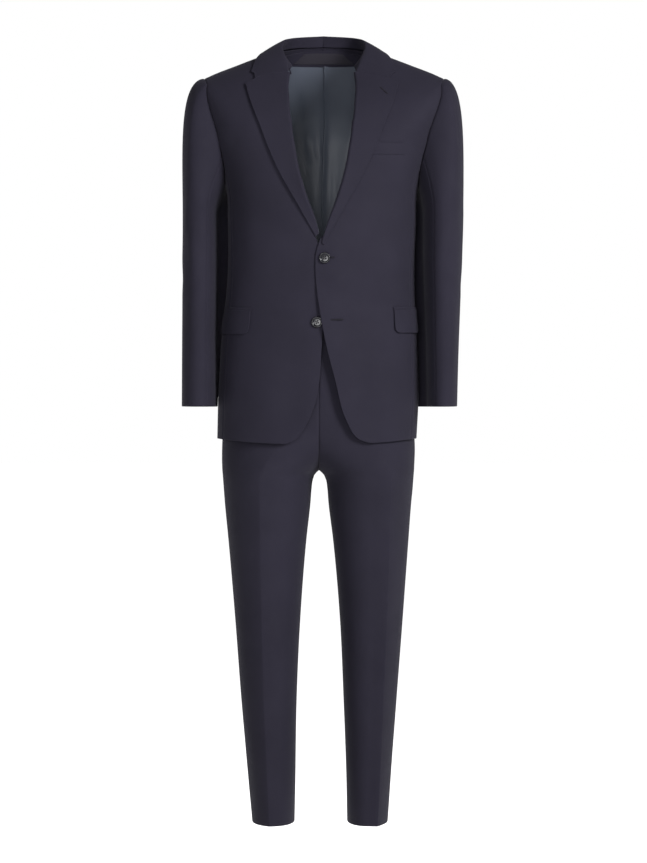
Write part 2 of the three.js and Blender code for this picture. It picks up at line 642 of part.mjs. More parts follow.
// A wall between lines of a surface given by a function of two numbers, thick towards the inside.
function shell(surface, columns, rows, thickness, sign, columnStep, rowStep) {
  const outer = [];
  const inner = [];
  for (const row of rows) {
    const line = columns(row).map((column) => {
      const p = surface(column, row);
      const across = surface(column + columnStep, row).sub(surface(column - columnStep, row));
      const [low, high] = rowStep(row);
      const up = surface(column, high).sub(surface(column, low));
      const normal = across.cross(up).normalize().multiplyScalar(sign);
      return [p, p.clone().addScaledVector(normal, thickness)];
    });
    outer.push(line.map((pair) => pair[0]));
    inner.push(line.map((pair) => pair[1]));
  }
  return wall(outer, inner);
}

const SLEEVE_NUDGE = 0.22;
const capOrRing = (down) => {
  if (down < 0) return [down - 4, Math.min(down + 4, -300)];
  return [Math.min(1, down + 0.03), Math.max(down - 0.03, 0)];
};
for (const [side, sign] of Object.entries(SIDES)) {
  const rows = [...CAP_STEPS, ...SLEEVE_STEPS];
  const span = (from, to, count) => () => range(count).map((s) => mix(from + SLEEVE_NUDGE, to - SLEEVE_NUDGE, s));
  const surface = (turn, down) => sleevePoint(side, turn, down);
  add(
    `top_sleeve_${side}`,
    shell(surface, span(SLEEVE_BACK_SEAM - 360, SLEEVE_FRONT_SEAM, 10), rows, SLEEVE_WALL, sign, 1, capOrRing),
    CLOTH,
  );
  add(
    `under_sleeve_${side}`,
    shell(surface, span(SLEEVE_FRONT_SEAM, SLEEVE_BACK_SEAM, 6), rows, SLEEVE_WALL, sign, 1, capOrRing),
    CLOTH,
  );
}

// ---------------------------------------------------------------- pockets and buttons

// Each lies on its panel: angles run out from the front, rows up the body.
const FLAPS = {
  left: { front: 44.5, back: 79, top: 2.41, bottom: 2.0 },
  right: { front: 40, back: 77, top: 2.39, bottom: 1.98 },
};
for (const [side, sign] of Object.entries(SIDES)) {
  const flap = FLAPS[side];
  const along = (s) => sign * mix(flap.front, flap.back, s);
  add(
    `flap_${side}`,
    bodyWall(
      (s, t) => ({ angle: along(s), row: mix(flap.bottom, flap.top, t) }),
      range(6),
      range(2),
      JACKET_WALL,
      () => JACKET_WALL + 1.3,
    ),
    CLOTH,
  );
  add(
    `jetting_${side}`,
    bodyWall(
      (s, t) => ({ angle: along(s), row: flap.top + mix(0.006, 0.05, t) }),
      range(6),
      range(1),
      1.2,
      () => 2.2,
    ),
    CLOTH,
  );
}

const WELT = { from: 74, to: 157, foot: -195, top: -172 };
const weltLine = (z, rise) => seenLine(
  [{ out: WELT.from, z }, { out: (WELT.from + WELT.to) / 2, z: z + rise }, { out: WELT.to, z: z + 2 * rise }],
  1,
);
add(
  "breast_welt",
  bodyWall(
    (s, t) => {
      const low = weltLine(WELT.foot, 1)(s);
      const high = weltLine(WELT.top, 0.5)(s);
      return { angle: mix(low.angle, high.angle, t), row: mix(low.row, high.row, t) };
    },
    range(4),
    range(1),
    1.4,
    () => 2.2,
  ),
  CLOTH,
);

// A button is turned with a raised rim and lies flat to its panel.
function button(at, lift) {
  const place = seenAt(at.x, at.z);
  const normal = bodyNormal(place.angle, place.row);
  const r = BUTTON_RADIUS;
  const h = BUTTON_THICKNESS;
  const profile = [
    [0.001, 0], [r * 0.8, 0], [r, h * 0.35], [r, h * 0.7], [r * 0.92, h], [r * 0.78, h * 0.95],
    [r * 0.66, h * 0.68], [0.001, h * 0.62],
  ];
  const turned = new THREE.LatheGeometry(profile.map(([x, y]) => new THREE.Vector2(x, y)), 24);
  const closed = closeLathe(turned, profile.length, 24);
  closed.applyQuaternion(new THREE.Quaternion().setFromUnitVectors(new THREE.Vector3(0, 1, 0), normal));
  const seat = body(place.angle, place.row).addScaledVector(normal, lift);
  closed.translate(seat.x, seat.y, seat.z);
  return closed;
}

// A turned solid whose first and last profile points sit on its axis.
function closeLathe(turned, count, turns) {
  const source = turned.getAttribute("position");
  const points = [new THREE.Vector3(0, source.getY(0), 0), new THREE.Vector3(0, source.getY(count - 1), 0)];
  const faces = [];
  for (let i = 0; i < turns; i++)
    for (let j = 1; j < count - 1; j++) points.push(new THREE.Vector3().fromBufferAttribute(source, i * count + j));
  const at = (i, j) => 2 + (i % turns) * (count - 2) + j - 1;
  for (let i = 0; i < turns; i++) {
    faces.push(0, at(i, 1), at(i + 1, 1), 1, at(i + 1, count - 2), at(i, count - 2));
    for (let j = 1; j < count - 2; j++) {
      faces.push(at(i, j), at(i, j + 1), at(i + 1, j + 1), at(i, j), at(i + 1, j + 1), at(i + 1, j));
    }
  }
  const volume = faces.reduce((sum, _, k) => {
    if (k % 3) return sum;
    const [a, b, c] = [0, 1, 2].map((n) => points[faces[k + n]]);
    return sum + a.dot(new THREE.Vector3().crossVectors(b, c));
  }, 0);
  if (volume < 0) faces.reverse();
  const geometry = new THREE.BufferGeometry();
  geometry.setAttribute("position", new THREE.Float32BufferAttribute(points.flatMap((p) => p.toArray()), 3));
  geometry.setIndex(faces);
  geometry.computeVertexNormals();
  return geometry;
}

add("top_button", button(TOP_BUTTON, OVERLAP_LIFT + 0.9), HORN);
add("lower_button", button(LOWER_BUTTON, 0.5), HORN);

// ---------------------------------------------------------------- trousers

// turn runs round one leg: 0 at the side seam, 90 at the front, 180 at the inseam, 270 at the back.
function legPoint(side, turn, z) {
  const at = (column) => smooth(LEG_ROWS, "z", column, z);
  const out = at(`${side}_out`);
  const inside = at(`${side}_in`);
  const a = toRad(turn);
  const e = 2 / LEG_SQUARENESS;
  const crease = CREASES[side];
  const pressed = 1 - THREE.MathUtils.smoothstep(z, CREASE_FULL, CREASE_TOP);
  const ridge = (centre, width) => {
    const off = (((turn - centre + 180) % 360) + 360) % 360 - 180;
    return Math.max(0, 1 - Math.abs(off) / width) ** 1.5;
  };
  const x = (out + inside) / 2 + ((out - inside) / 2) * power(Math.cos(a), e);
  const y = (at("front") + at("back")) / 2 - ((at("back") - at("front")) / 2) * power(Math.sin(a), e);
  const push = CREASE_RIDGE * pressed;
  return new THREE.Vector3(
    TROUSER_MIDDLE + SIDES[side] * x,
    y - push * ridge(crease.front, 26) + push * ridge(crease.back, 26),
    z,
  );
}

// Where the ring of one leg meets the middle, or the inseam below the fork.
function innerTurn(side, z) {
  const out = smooth(LEG_ROWS, "z", `${side}_out`, z);
  const inside = smooth(LEG_ROWS, "z", `${side}_in`, z);
  if (inside >= WALL_BESIDE_FLY) return 180 - 0.15;
  const share = (WALL_BESIDE_FLY - (out + inside) / 2) / ((out - inside) / 2);
  return THREE.MathUtils.radToDeg(Math.acos(power(share, LEG_SQUARENESS / 2)));
}

const legRowStep = (z) => [z - 3, z + 3];
const SIDE_NUDGE = 0.12;
for (const [side, sign] of Object.entries(SIDES)) {
  const surface = (turn, z) => legPoint(side, turn, z);
  const crease = CREASES[side];
  const front = (z) => {
    const end = Math.min(innerTurn(side, z), 180 - 0.15);
    const shares = [0, 0.22, 0.5, 0.78, 1];
    const low = shares.map((s) => mix(SIDE_NUDGE, Math.min(crease.front, end * 0.72), s));
    return [...low, ...[0.2, 0.45, 0.7, 1].map((s) => mix(low.at(-1), end, s))];
  };
  const back = (z) => {
    const end = -Math.min(innerTurn(side, z), 180 - 0.15);
    const shares = [0, 0.22, 0.5, 0.78, 1];
    const low = shares.map((s) => mix(-SIDE_NUDGE, Math.max(crease.back, end * 0.72), s));
    return [...low, ...[0.25, 0.5, 0.75, 1].map((s) => mix(low.at(-1), end, s))];
  };
  add(`trouser_front_${side}`, shell(surface, front, LEG_STEPS, TROUSER_WALL, sign, 1, legRowStep), CLOTH);
  add(`trouser_back_${side}`, shell(surface, back, LEG_STEPS, TROUSER_WALL, sign, 1, legRowStep), CLOTH);
  add(
    `waistband_${side}`,
    shell(
      surface,
      (z) => range(12).map((s) => mix(innerTurn(side, z), -innerTurn(side, z), s)),
      WAISTBAND_STEPS,
      3,
      sign,
      1,
      legRowStep,
    ),
    CLOTH,
  );
}

export default suit;
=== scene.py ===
# %% [markdown]
# # A two-piece suit, filled out with no one in it
#
# This lesson models a man's suit in Blender: a single-breasted jacket with notch lapels over
# pressed trousers. Both garments keep the round, hollow shape that a wearer gives them.
#
# Tailors build a jacket from flat panels sewn edge to edge. The lesson does the same. One smooth
# body form is described by a short table of rings, and every panel is a patch of that form. A
# patch gets thickness, a turned edge and its own soft folds, so that light catches it as cloth.
#
# Cloth simulation would also work, but a pressed suit is mostly shape and little drape. Placing
# the folds one by one keeps them where a tailored suit really has them.

import math

import bmesh
import bpy
import numpy as np
from mathutils import Matrix, Vector


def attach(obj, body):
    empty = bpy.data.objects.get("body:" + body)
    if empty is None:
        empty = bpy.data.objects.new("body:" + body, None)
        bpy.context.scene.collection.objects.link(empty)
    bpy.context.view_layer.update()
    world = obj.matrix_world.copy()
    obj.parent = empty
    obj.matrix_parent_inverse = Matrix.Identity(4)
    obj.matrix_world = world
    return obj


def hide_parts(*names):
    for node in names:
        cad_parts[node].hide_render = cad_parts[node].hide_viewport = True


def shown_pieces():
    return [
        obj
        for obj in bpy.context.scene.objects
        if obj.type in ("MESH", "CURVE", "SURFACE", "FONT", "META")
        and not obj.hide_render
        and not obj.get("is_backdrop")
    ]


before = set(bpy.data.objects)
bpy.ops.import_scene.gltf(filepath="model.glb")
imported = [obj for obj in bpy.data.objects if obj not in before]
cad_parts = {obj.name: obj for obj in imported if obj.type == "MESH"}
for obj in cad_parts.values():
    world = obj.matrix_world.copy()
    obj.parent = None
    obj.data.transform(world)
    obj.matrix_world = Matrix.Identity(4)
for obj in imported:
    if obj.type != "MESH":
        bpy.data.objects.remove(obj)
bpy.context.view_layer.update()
MM = 0.001


# %% Put things in the scene
def in_scene(name, data):
    """A new object in the scene, at the origin."""
    obj = bpy.data.objects.new(name, data)
    bpy.context.scene.collection.objects.link(obj)
    return obj


# %% [markdown]
# ## Tables of sizes
#
# Every size is in millimetres and every table has named columns. A row of `BODY` is one ring
# round the jacket: how high it runs at the side, the front and the back, how wide and deep it is,
# and where its middle sits. Reading the table from the bottom up is like reading a figure's
# measurements from the hips to the neck.


# %% Read a table
def table(names, rows):
    """Columns by name, from rows of numbers."""
    return dict(zip(names.split(), np.array(rows, dtype=float).T))


BODY = table(
    "row side front back half deep_front deep_back middle",
    [
        (0, -734, -745, -738, 194, 129, 131, -7),  # hem
        (1, -650, -655, -650, 195, 128, 130, -4),  # hip
        (2, -530, -535, -530, 190, 125, 117, -2),  # pocket
        (3, -420, -425, -420, 182, 124, 106, 1),  # waist
        (4, -325, -330, -325, 183, 129, 110, 3),  # midriff
        (5, -243, -252, -243, 188, 134, 121, 3),  # armpit
        (6, -142, -200, -170, 222, 132, 122, 5),  # armhole
        (7, -38, -152, -118, 238, 124, 117, 7),  # shoulder tip
        (8, -30.5, -134, -100, 224, 120, 113, 7),  # shoulder
        (9, -7, -86, -40, 166, 98, 92, 7),  # yoke
        (10, 24, -44, 37, 86, 66, 62, 6),  # neck
    ],
)
HEM_ROW, ARMPIT_ROW, ARMHOLE_TOP, NECK_ROW = 0, 5, 7.4, 10
BODY_SQUARENESS = 2.5
print("body rings:", len(BODY["row"]))

# %% Sleeves and legs, ring by ring
SLEEVES = {
    "left": table(
        "z outside inside front back lean",
        [
            (-672, 264, 206.5, -104, 30, 23.5),
            (-575, 267, 205.5, -99, 42, 24.3),
            (-480, 271, 203, -93, 56, 27),
            (-390, 275, 200.5, -88, 68, 28),
            (-300, 278, 200, -88, 74, 26),
        ],
    ),
    "right": table(
        "z outside inside front back lean",
        [
            (-672, 268, 202, -104, 30, 7.4),
            (-575, 268, 202.5, -99, 42, 14.5),
            (-480, 268, 202.5, -93, 56, 25),
            (-390, 268, 202, -88, 68, 32),
            (-300, 268, 202, -86, 74, 32),
        ],
    ),
}
HEAD_OUT = {"left": 0.5, "right": 0.58}
SLEEVE_SQUARENESS = 2.2

LEGS = table(
    "z left_out left_in right_out right_in front back",
    [
        (-1479, 134, 55, 130, 47.5, -70, 73),
        (-1400, 139.5, 53.5, 137, 46, -72, 75),
        (-1244, 151, 48, 151, 43.5, -75, 77),
        (-1088, 163, 41, 163, 36.5, -78, 84),
        (-932, 174.5, 27.5, 176.5, 24.5, -90, 102),
        (-854, 180.5, 18, 184, 16, -99, 112),
        (-834, 182.5, 16.5, 185.5, 14.5, -102, 115),
        (-812, 184.2, 12.5, 187.2, 11, -105, 118),
        (-802, 185, 7, 188, 6.5, -106, 119),
        (-797, 185.5, 0.4, 188.5, 0.4, -107, 120),
        (-784, 186, -16, 189, -16, -108, 119),
        (-755, 187, -60, 189, -60, -110, 119),
        (-715, 185, -120, 187, -120, -112, 118),
        (-660, 179, -179, 180, -180, -113, 115),
        (-600, 168, -168, 168, -168, -112, 111),
        (-553, 156, -156, 156, -156, -110, 104),
        (-515, 150, -150, 150, -150, -109, 102),
    ],
)
LEG_SQUARENESS = 2.15
TROUSER_MIDDLE = -3
WAIST_SEAM, WAIST_TOP, HEM_Z = -553, -515, -1479
print("sleeve rings:", len(SLEEVES["left"]["z"]), "leg rings:", len(LEGS["z"]))

# %% [markdown]
# ## Edges that are drawn
#
# A front edge, a lapel and a hem corner are drawn shapes that a tailor chalks on the cloth. Each
# is a short list of points as seen from the front, joined by a smooth line on the body form.
# The wearer's left front laps over the right one.

# %% The drawn edges
OVER_EDGE = [
    (60.5, -723), (44, -688), (28.5, -626.5), (13.5, -568.5), (3.5, -521.5), (-3.5, -479.5),
    (-8.5, -438), (-10, -404), (-8.5, -380.5), (-3, -362), (11.5, -324.5), (29.5, -275.5),
    (42, -228.5), (52.5, -175), (62.5, -116.5), (71, -39.5),
]
UNDER_EDGE = [
    (-35, -722), (-20, -694.5), (-8.5, -661.5), (-1, -615), (1, -582), (4, -540), (7, -486.5),
    (8, -433), (7, -394), (0, -374), (-6.5, -358.5), (-19.5, -323.5), (-36.5, -271.5),
    (-47.5, -222.5), (-53.5, -175), (-58.5, -116.5), (-65, -39.5),
]
OVER_HEM = [(60.5, -723), (72, -734.5), (88, -741), (107.5, -743.5), (137, -741.5)]
UNDER_HEM = [(-35, -722), (-44.5, -733.5), (-62, -743), (-87.5, -746.5), (-136.5, -742.5)]

LAPEL_MIDDLE = 3
LAPEL_EDGE = [(45, -291.5), (85.5, -217.5), (120, -133.5), (138.5, -84.5), (146.5, -55.5)]
LAPEL_ROLL = [
    (11, -324.5), (29, -275), (42, -228.5), (51.5, -175), (59.5, -116.5), (65, -55.5), (63, -33),
]
GORGE = [(63, -33), (122, -43), (146.5, -55.5)]
LAPEL_FOOT = {"left": ((0, -363), (4, -367)), "right": ((6.5, -345), (11.5, -351.5))}

FRONT_SEAM = table("row angle", [(0, 66), (2, 66), (3, 68), (4, 71)])
BACK_SEAM = table("row angle", [(0, 122), (2, 121), (3, 118), (4, 113)])
REACH_FRONT, REACH_BACK = 28, 30  # degrees that an armhole reaches to each side
FRONT_SEAM_AT, BACK_SEAM_AT = 140, 225  # where the two seams end, as turns round the armhole
SEAM_SHARE = 0.7  # share of a panel's side that is seam; the rest is armhole
NECK_SHARE = 3 / 7  # share of a back's top that is neck; the rest is shoulder
NUDGE, SHOULDER_NUDGE, SHOULDER_TURN = 0.04, 0.02, 0.06  # half of the gaps at seams, in degrees
OVERLAP_LIFT = 3.4  # how far the left front stands off the right one
LOWER_BUTTON, TOP_BUTTON = (-6.5, -513), (8, -391)

JACKET_WALL, SLEEVE_WALL, LAPEL_WALL, TROUSER_WALL, LINING_WALL = 2.0, 1.8, 2.2, 1.4, 1.0
LAY_GAP = 0.6  # air between a laid piece and the cloth below it
SIDES = {"left": 1, "right": -1}
print("points of the front edges:", len(OVER_EDGE), "over and", len(UNDER_EDGE), "under")

# %% [markdown]
# ## Smooth lines and the body form
#
# `smooth` reads a table between its rows. It joins the rows with curves that pass each row at a
# steady slope, so that a few rows are enough for a round form. Where two rows are close together
# the slope leans to the shorter step, or the form would show a ripple in the light.


# %% Smooth reading
def smooth(tab, key, column, at):
    x, y = tab[key], tab[column]
    at = np.clip(at, x[0], x[-1])
    i = np.clip(np.searchsorted(x, at, side="right") - 1, 0, len(x) - 2)
    steps, slopes = np.diff(x), np.diff(y) / np.diff(x)
    inner = (slopes[:-1] * steps[1:] + slopes[1:] * steps[:-1]) / (steps[:-1] + steps[1:])
    knots = np.concatenate([slopes[:1], inner, slopes[-1:]])
    step = x[i + 1] - x[i]
    t = (at - x[i]) / step
    t2, t3 = t * t, t * t * t
    return (
        (2 * t3 - 3 * t2 + 1) * y[i]
        + (t3 - 2 * t2 + t) * step * knots[i]
        + (3 * t2 - 2 * t3) * y[i + 1]
        + (t3 - t2) * step * knots[i + 1]
    )


def power(value, exponent):
    return np.sign(value) * np.abs(value) ** exponent


def mix(a, b, t):
    return a + (b - a) * t


def ease(t):
    t = np.clip(t, 0, 1)
    return t * t * (3 - 2 * t)


print("a quarter of the way, ease gives", float(ease(0.25)))

# %% The body form
at_side = np.hypot(np.diff(BODY["side"]), np.diff(BODY["half"]))
at_front = np.hypot(np.diff(BODY["front"]), np.diff(BODY["deep_front"]))
BODY["climbed"] = np.concatenate([[0], np.cumsum((at_side + at_front) / 2)])


def body(angle, row):
    """Points of the jacket's form. angle runs round from the front, row up from the hem."""
    angle, row = np.broadcast_arrays(np.asarray(angle, float), np.asarray(row, float))
    a = np.radians(angle)
    s, c = np.sin(a), np.cos(a)
    e = 2 / BODY_SQUARENESS
    height = np.interp(row, BODY["row"], BODY["climbed"])
    read = {k: smooth(BODY, "climbed", k, height) for k in BODY if k not in ("row", "climbed")}
    end = np.where(c > 0, read["front"], read["back"])
    deep = np.where(c > 0, -read["deep_front"], read["deep_back"])
    x = read["middle"] + read["half"] * power(s, e)
    y = deep * np.abs(c) ** e
    z = mix(read["side"], end, c * c)
    return np.stack([x, y, z], axis=-1)


def unit(v):
    return v / np.maximum(np.linalg.norm(v, axis=-1, keepdims=True), 1e-9)


def body_normal(angle, row):
    across = body(angle + 0.6, row) - body(angle - 0.6, row)
    up = body(angle, np.minimum(row + 0.05, NECK_ROW)) - body(angle, np.maximum(row - 0.05, 0))
    return unit(np.cross(across, up))


print("chest is", round(float(body(90, 5)[0] - body(-90, 5)[0])), "mm wide at the armpits")


# %% From a seen point to its place on the form
def seen_at(x, z):
    """The place on the form's front that is seen at x, z from the front."""
    x, z = np.asarray(x, float), np.asarray(z, float)
    angle, row = np.zeros_like(x), np.full_like(x, 4.0)
    for _ in range(40):
        p = body(angle, row)
        da = (body(angle + 0.01, row) - p) / 0.01
        dr = (body(angle, row + 0.01) - p) / 0.01
        det = da[..., 0] * dr[..., 2] - dr[..., 0] * da[..., 2]
        dx, dz = x - p[..., 0], z - p[..., 2]
        angle = angle + np.clip((dx * dr[..., 2] - dr[..., 0] * dz) / det, -12, 12)
        angle = np.clip(angle, -89, 89)
        row = row + np.clip((da[..., 0] * dz - dx * da[..., 2]) / det, -0.8, 0.8)
        row = np.clip(row, 0, NECK_ROW - 0.02)
    return angle, row


print("the top button is at angle and row", *np.round(seen_at(*TOP_BUTTON), 2))

# %% [markdown]
# ## Seams, armholes and patches
#
# A place on the form is an angle and a row. `line` joins places smoothly, and `patch` fills the
# space between four lines the way a tailor's panel fills the space between its seams.


# %% Lines and patches on the form
def seen_curve(points, count=64):
    """Places along a smooth curve through points that are seen from the front."""
    x, z = np.array(points, float).T
    far = np.concatenate([[0], np.cumsum(np.hypot(np.diff(x), np.diff(z)))])
    tab, at = {"far": far, "x": x, "z": z}, np.linspace(0, far[-1], count)
    return np.array(seen_at(smooth(tab, "far", "x", at), smooth(tab, "far", "z", at))).T


def line(places):
    """A smooth line through places, by share of its length."""
    angle, row = np.array(places, float).T
    points = body(angle, row)
    far = np.concatenate([[0], np.cumsum(np.linalg.norm(np.diff(points, axis=0), axis=1))])
    tab = {"far": far, "angle": angle, "row": row}
    return lambda share: np.stack(
        [smooth(tab, "far", "angle", share * far[-1]), smooth(tab, "far", "row", share * far[-1])]
    )


def patch(bottom, top, start, end):
    """A Coons patch of places between four lines, read at matching grids of shares."""
    corners = [f(np.float64(v))[:, None, None] for f in (bottom, top) for v in (0, 1)]

    def at(s, t):
        edges = mix(start(t), end(t), s) + mix(bottom(s), top(s), t)
        return edges - mix(mix(corners[0], corners[1], s), mix(corners[2], corners[3], s), t)

    return at


print("the over edge is read at", len(seen_curve(OVER_EDGE)), "places")


# %% Armholes and seams
def armhole(sign, turn, inset=0.0):
    """Places round one armhole; turn starts at the shoulder and comes forward first."""
    a = np.radians(np.asarray(turn, float))
    reach = np.where(np.sin(a) > 0, REACH_FRONT, REACH_BACK) - inset / 3.5
    tall = 1 - inset / 100
    row = mix(ARMPIT_ROW, ARMHOLE_TOP, 0.5 + tall * np.cos(a) / 2)
    return np.stack([sign * (90 - reach * np.sin(a)), row])


def body_seam(tab, meets, sign, nudge):
    """A seam from the hem up to the armhole, moved round by half a seam's gap."""
    angle, row = armhole(1, meets)
    full = {"row": np.append(tab["row"], row), "angle": np.append(tab["angle"], angle)}
    rows = np.linspace(0, 1, 9) * row
    seam = line([(sign * smooth(full, "row", "angle", r), r) for r in rows])
    return lambda t: seam(t) + np.array([sign * nudge, 0]).reshape(2, *([1] * np.ndim(t)))


def seam_and_armhole(seam, sign, start, stop, inset=0.0):
    def at(t):
        t = np.asarray(t, float)
        low = seam(np.clip(t / SEAM_SHARE, 0, 1))
        high = armhole(sign, mix(start, stop, np.clip((t - SEAM_SHARE) / (1 - SEAM_SHARE), 0, 1)), inset)
        return np.where(t <= SEAM_SHARE, low, high)

    return at


def neck_and_shoulder(sign, neck_row, nudge):
    def at(s):
        s = np.asarray(s, float)
        round_neck = mix(180, 90 + nudge, np.clip(s / NECK_SHARE, 0, 1))
        along = mix(neck_row, ARMHOLE_TOP, np.clip((s - NECK_SHARE) / (1 - NECK_SHARE), 0, 1))
        return np.stack([sign * round_neck, along + 0 * s])

    return at


def on_body(place):
    """Points of the form at places, and the directions straight out of it."""
    return body(*place), body_normal(*place)


def inside(place, depth):
    """Points at a depth inside the form, and the directions that look further in."""
    points, outward = on_body(place)
    return points - outward * np.asarray(depth)[..., None], -outward


armhole_ring = body(*armhole(1, np.linspace(0, 360, 90)))
around_mm = np.linalg.norm(np.diff(armhole_ring, axis=0), axis=-1).sum()
print("an armhole is", round(float(around_mm)), "mm round")

# %% [markdown]
# ## Turning a grid of points into cloth
#
# Each panel is a grid of points with a direction at every point. The outer face is the grid
# pushed out by the panel's relief, and the inner face is the same grid pushed in by the cloth's
# thickness. The grid is finest beside its edges, where the cloth turns under in a small radius.


# %% Grid to cloth
SEAM_DIP = 0.75  # how deep two panels sink where they are sewn together
TURN = 1.1  # radius of a turned, pressed edge


def edge_shares(length, step, close=(0, 0.35, 0.8, 1.4, 2.2, 3.4)):
    """Shares of a length that crowd towards both ends, in millimetres from them."""
    close = np.array([c for c in close if c < length / 3])
    middle = np.linspace(close[-1], length - close[-1], max(3, int((length - 2 * close[-1]) / step)))
    return np.unique(np.concatenate([close, middle, length - close])) / length


def distances(points):
    """How far each grid point is from the grid's left, right, bottom and top edge."""
    across = np.linalg.norm(np.diff(points, axis=1), axis=-1)
    up = np.linalg.norm(np.diff(points, axis=0), axis=-1)
    left = np.concatenate([np.zeros((len(points), 1)), np.cumsum(across, axis=1)], axis=1)
    low = np.concatenate([np.zeros((1, points.shape[1])), np.cumsum(up, axis=0)], axis=0)
    return {"start": left, "end": left[:, -1:] - left, "bottom": low, "top": low[-1:] - low}


def sewn(d, depth=SEAM_DIP, width=1.5):
    """The dip beside a seam, with the slight swell of the allowance next to it."""
    return -depth * np.exp(-((d / width) ** 2)) + 0.16 * np.exp(-(((d - 5) / 3) ** 2))


def turned(d, radius=TURN):
    """How far a face rounds off towards a free edge."""
    x = np.clip(1 - d / radius, 0, 1)
    return radius * (1 - np.sqrt(1 - x * x))


print("panels are finest at their edges:", edge_shares(100, 10.0).round(3)[:5])


# %% A sheet of cloth
def cloth(name, points, normals, thickness, material, relief=0.0, free=()):
    """A closed sheet of cloth. free names the edges that are turned and pressed, not sewn."""
    d = distances(points)
    rounding = np.zeros(points.shape[:2])
    for side in free:
        rounding = np.maximum(rounding, turned(d[side], min(TURN, thickness * 0.49)))
    outer = points + normals * (relief - rounding)[..., None]
    inner = points + normals * (relief - thickness + rounding)[..., None]
    rows, columns = rounding.shape
    n = rows * columns
    index = np.arange(n).reshape(rows, columns)
    face = np.stack([index[:-1, :-1], index[:-1, 1:], index[1:, 1:], index[1:, :-1]], -1)
    face = face.reshape(-1, 4)
    rim = np.concatenate([index[0, :-1], index[:-1, -1], index[-1, :0:-1], index[:0:-1, 0]])
    after = np.roll(rim, -1)
    around = np.stack([after, rim, rim + n, after + n], -1)
    faces = np.concatenate([face, face[:, ::-1] + n, around])
    verts = np.concatenate([outer.reshape(-1, 3), inner.reshape(-1, 3)]) * MM
    flat = np.stack([d["start"], d["bottom"]], -1).reshape(-1, 2) * MM
    return solid(name, verts, faces, material, np.concatenate([flat, flat]))


def solid(name, verts, faces, material, flat=None):
    """A closed mesh of four-sided faces that all point outwards."""
    a, b, c, d = (verts[faces[:, k]] for k in range(4))
    volume = (a * (np.cross(b, c) + np.cross(c, d))).sum()
    if volume < 0:
        faces = faces[:, ::-1]
    mesh = bpy.data.meshes.new(name)
    mesh.from_pydata(verts.tolist(), [], faces.tolist())
    if flat is not None:
        layer = mesh.uv_layers.new(name="cloth")
        loops = np.zeros(len(mesh.loops), dtype=np.int32)
        mesh.loops.foreach_get("vertex_index", loops)
        layer.data.foreach_set("uv", flat[loops].astype(np.float32).ravel())
    mesh.polygons.foreach_set("use_smooth", np.ones(len(mesh.polygons), dtype=bool))
    mesh.materials.append(material)
    return in_scene(name, mesh)


print("a pressed edge turns in a radius of", TURN, "mm")

# %% [markdown]
# ## Materials
#
# Suiting is a fine worsted. Its twill is far finer than a millimetre, so the shader only hints at
# it with a small bump along the panel's own grain, and lets a sheen soften the edges as the tiny
# fibres of wool do. Slow noise varies the colour a little, because no cloth is perfectly even.


# %% Help with materials
def put(node, values):
    """Set a node's inputs by name."""
    for name, value in values.items():
        node.inputs[name].default_value = value
    return node


def node_tree(name):
    material = bpy.data.materials.new(name)
    material.use_nodes = True
    nodes, links = material.node_tree.nodes, material.node_tree.links
    return material, nodes, links, nodes["Principled BSDF"]


def add_noise(nodes, links, source, scale, detail=3.0):
    noise = put(nodes.new("ShaderNodeTexNoise"), {"Scale": scale, "Detail": detail})
    links.new(source, noise.inputs["Vector"])
    return noise.outputs["Fac"]



def add_ramp(nodes, links, source, low, high):
    ramp = nodes.new("ShaderNodeValToRGB")
    ramp.color_ramp.elements[0].position, ramp.color_ramp.elements[1].position = 0.3, 0.72
    ramp.color_ramp.elements[0].color = (*low, 1)
    ramp.color_ramp.elements[1].color = (*high, 1)
    links.new(source, ramp.inputs["Fac"])
    return ramp.outputs["Color"]


# %% Woven cloth
def add_bump(nodes, links, grain, slub, bump):
    """The direction of a surface raised by a fine diagonal twill and by uneven yarn."""
    grain_at = nodes.new("ShaderNodeUVMap")
    grain_at.uv_map = "cloth"
    twill = put(nodes.new("ShaderNodeTexWave"), {"Scale": grain, "Distortion": 1.5, "Detail": 2.0})
    twill.bands_direction = "DIAGONAL"
    links.new(grain_at.outputs["UV"], twill.inputs["Vector"])
    both = nodes.new("ShaderNodeMix")
    both.data_type = "FLOAT"
    both.inputs["Factor"].default_value = 0.5
    links.new(twill.outputs["Fac"], both.inputs["A"])
    links.new(slub, both.inputs["B"])
    raised = put(nodes.new("ShaderNodeBump"), {"Strength": bump, "Distance": 0.0004})
    links.new(both.outputs["Result"], raised.inputs["Height"])
    return raised.outputs["Normal"]


def woven(name, low, high, roughness, sheen, grain, bump):
    """Cloth between two colours; grain is how fine its twill is and bump how strong."""
    material, nodes, links, surface = node_tree(name)
    place = nodes.new("ShaderNodeTexCoord").outputs["Object"]
    colour = add_ramp(nodes, links, add_noise(nodes, links, place, 9.0), low, high)
    links.new(colour, surface.inputs["Base Color"])
    slub = add_noise(nodes, links, place, 260.0, 4.0)
    links.new(add_bump(nodes, links, grain, slub, bump), surface.inputs["Normal"])
    span = {"To Min": roughness - 0.06, "To Max": roughness + 0.06}
    rough = put(nodes.new("ShaderNodeMapRange"), span)
    links.new(add_noise(nodes, links, place, 22.0), rough.inputs["Value"])
    links.new(rough.outputs["Result"], surface.inputs["Roughness"])
    put(surface, {"Specular IOR Level": 0.15, "Sheen Weight": sheen, "Sheen Roughness": 0.45})
    put(surface, {"Sheen Tint": (0.72, 0.7, 0.85, 1)})
    return material


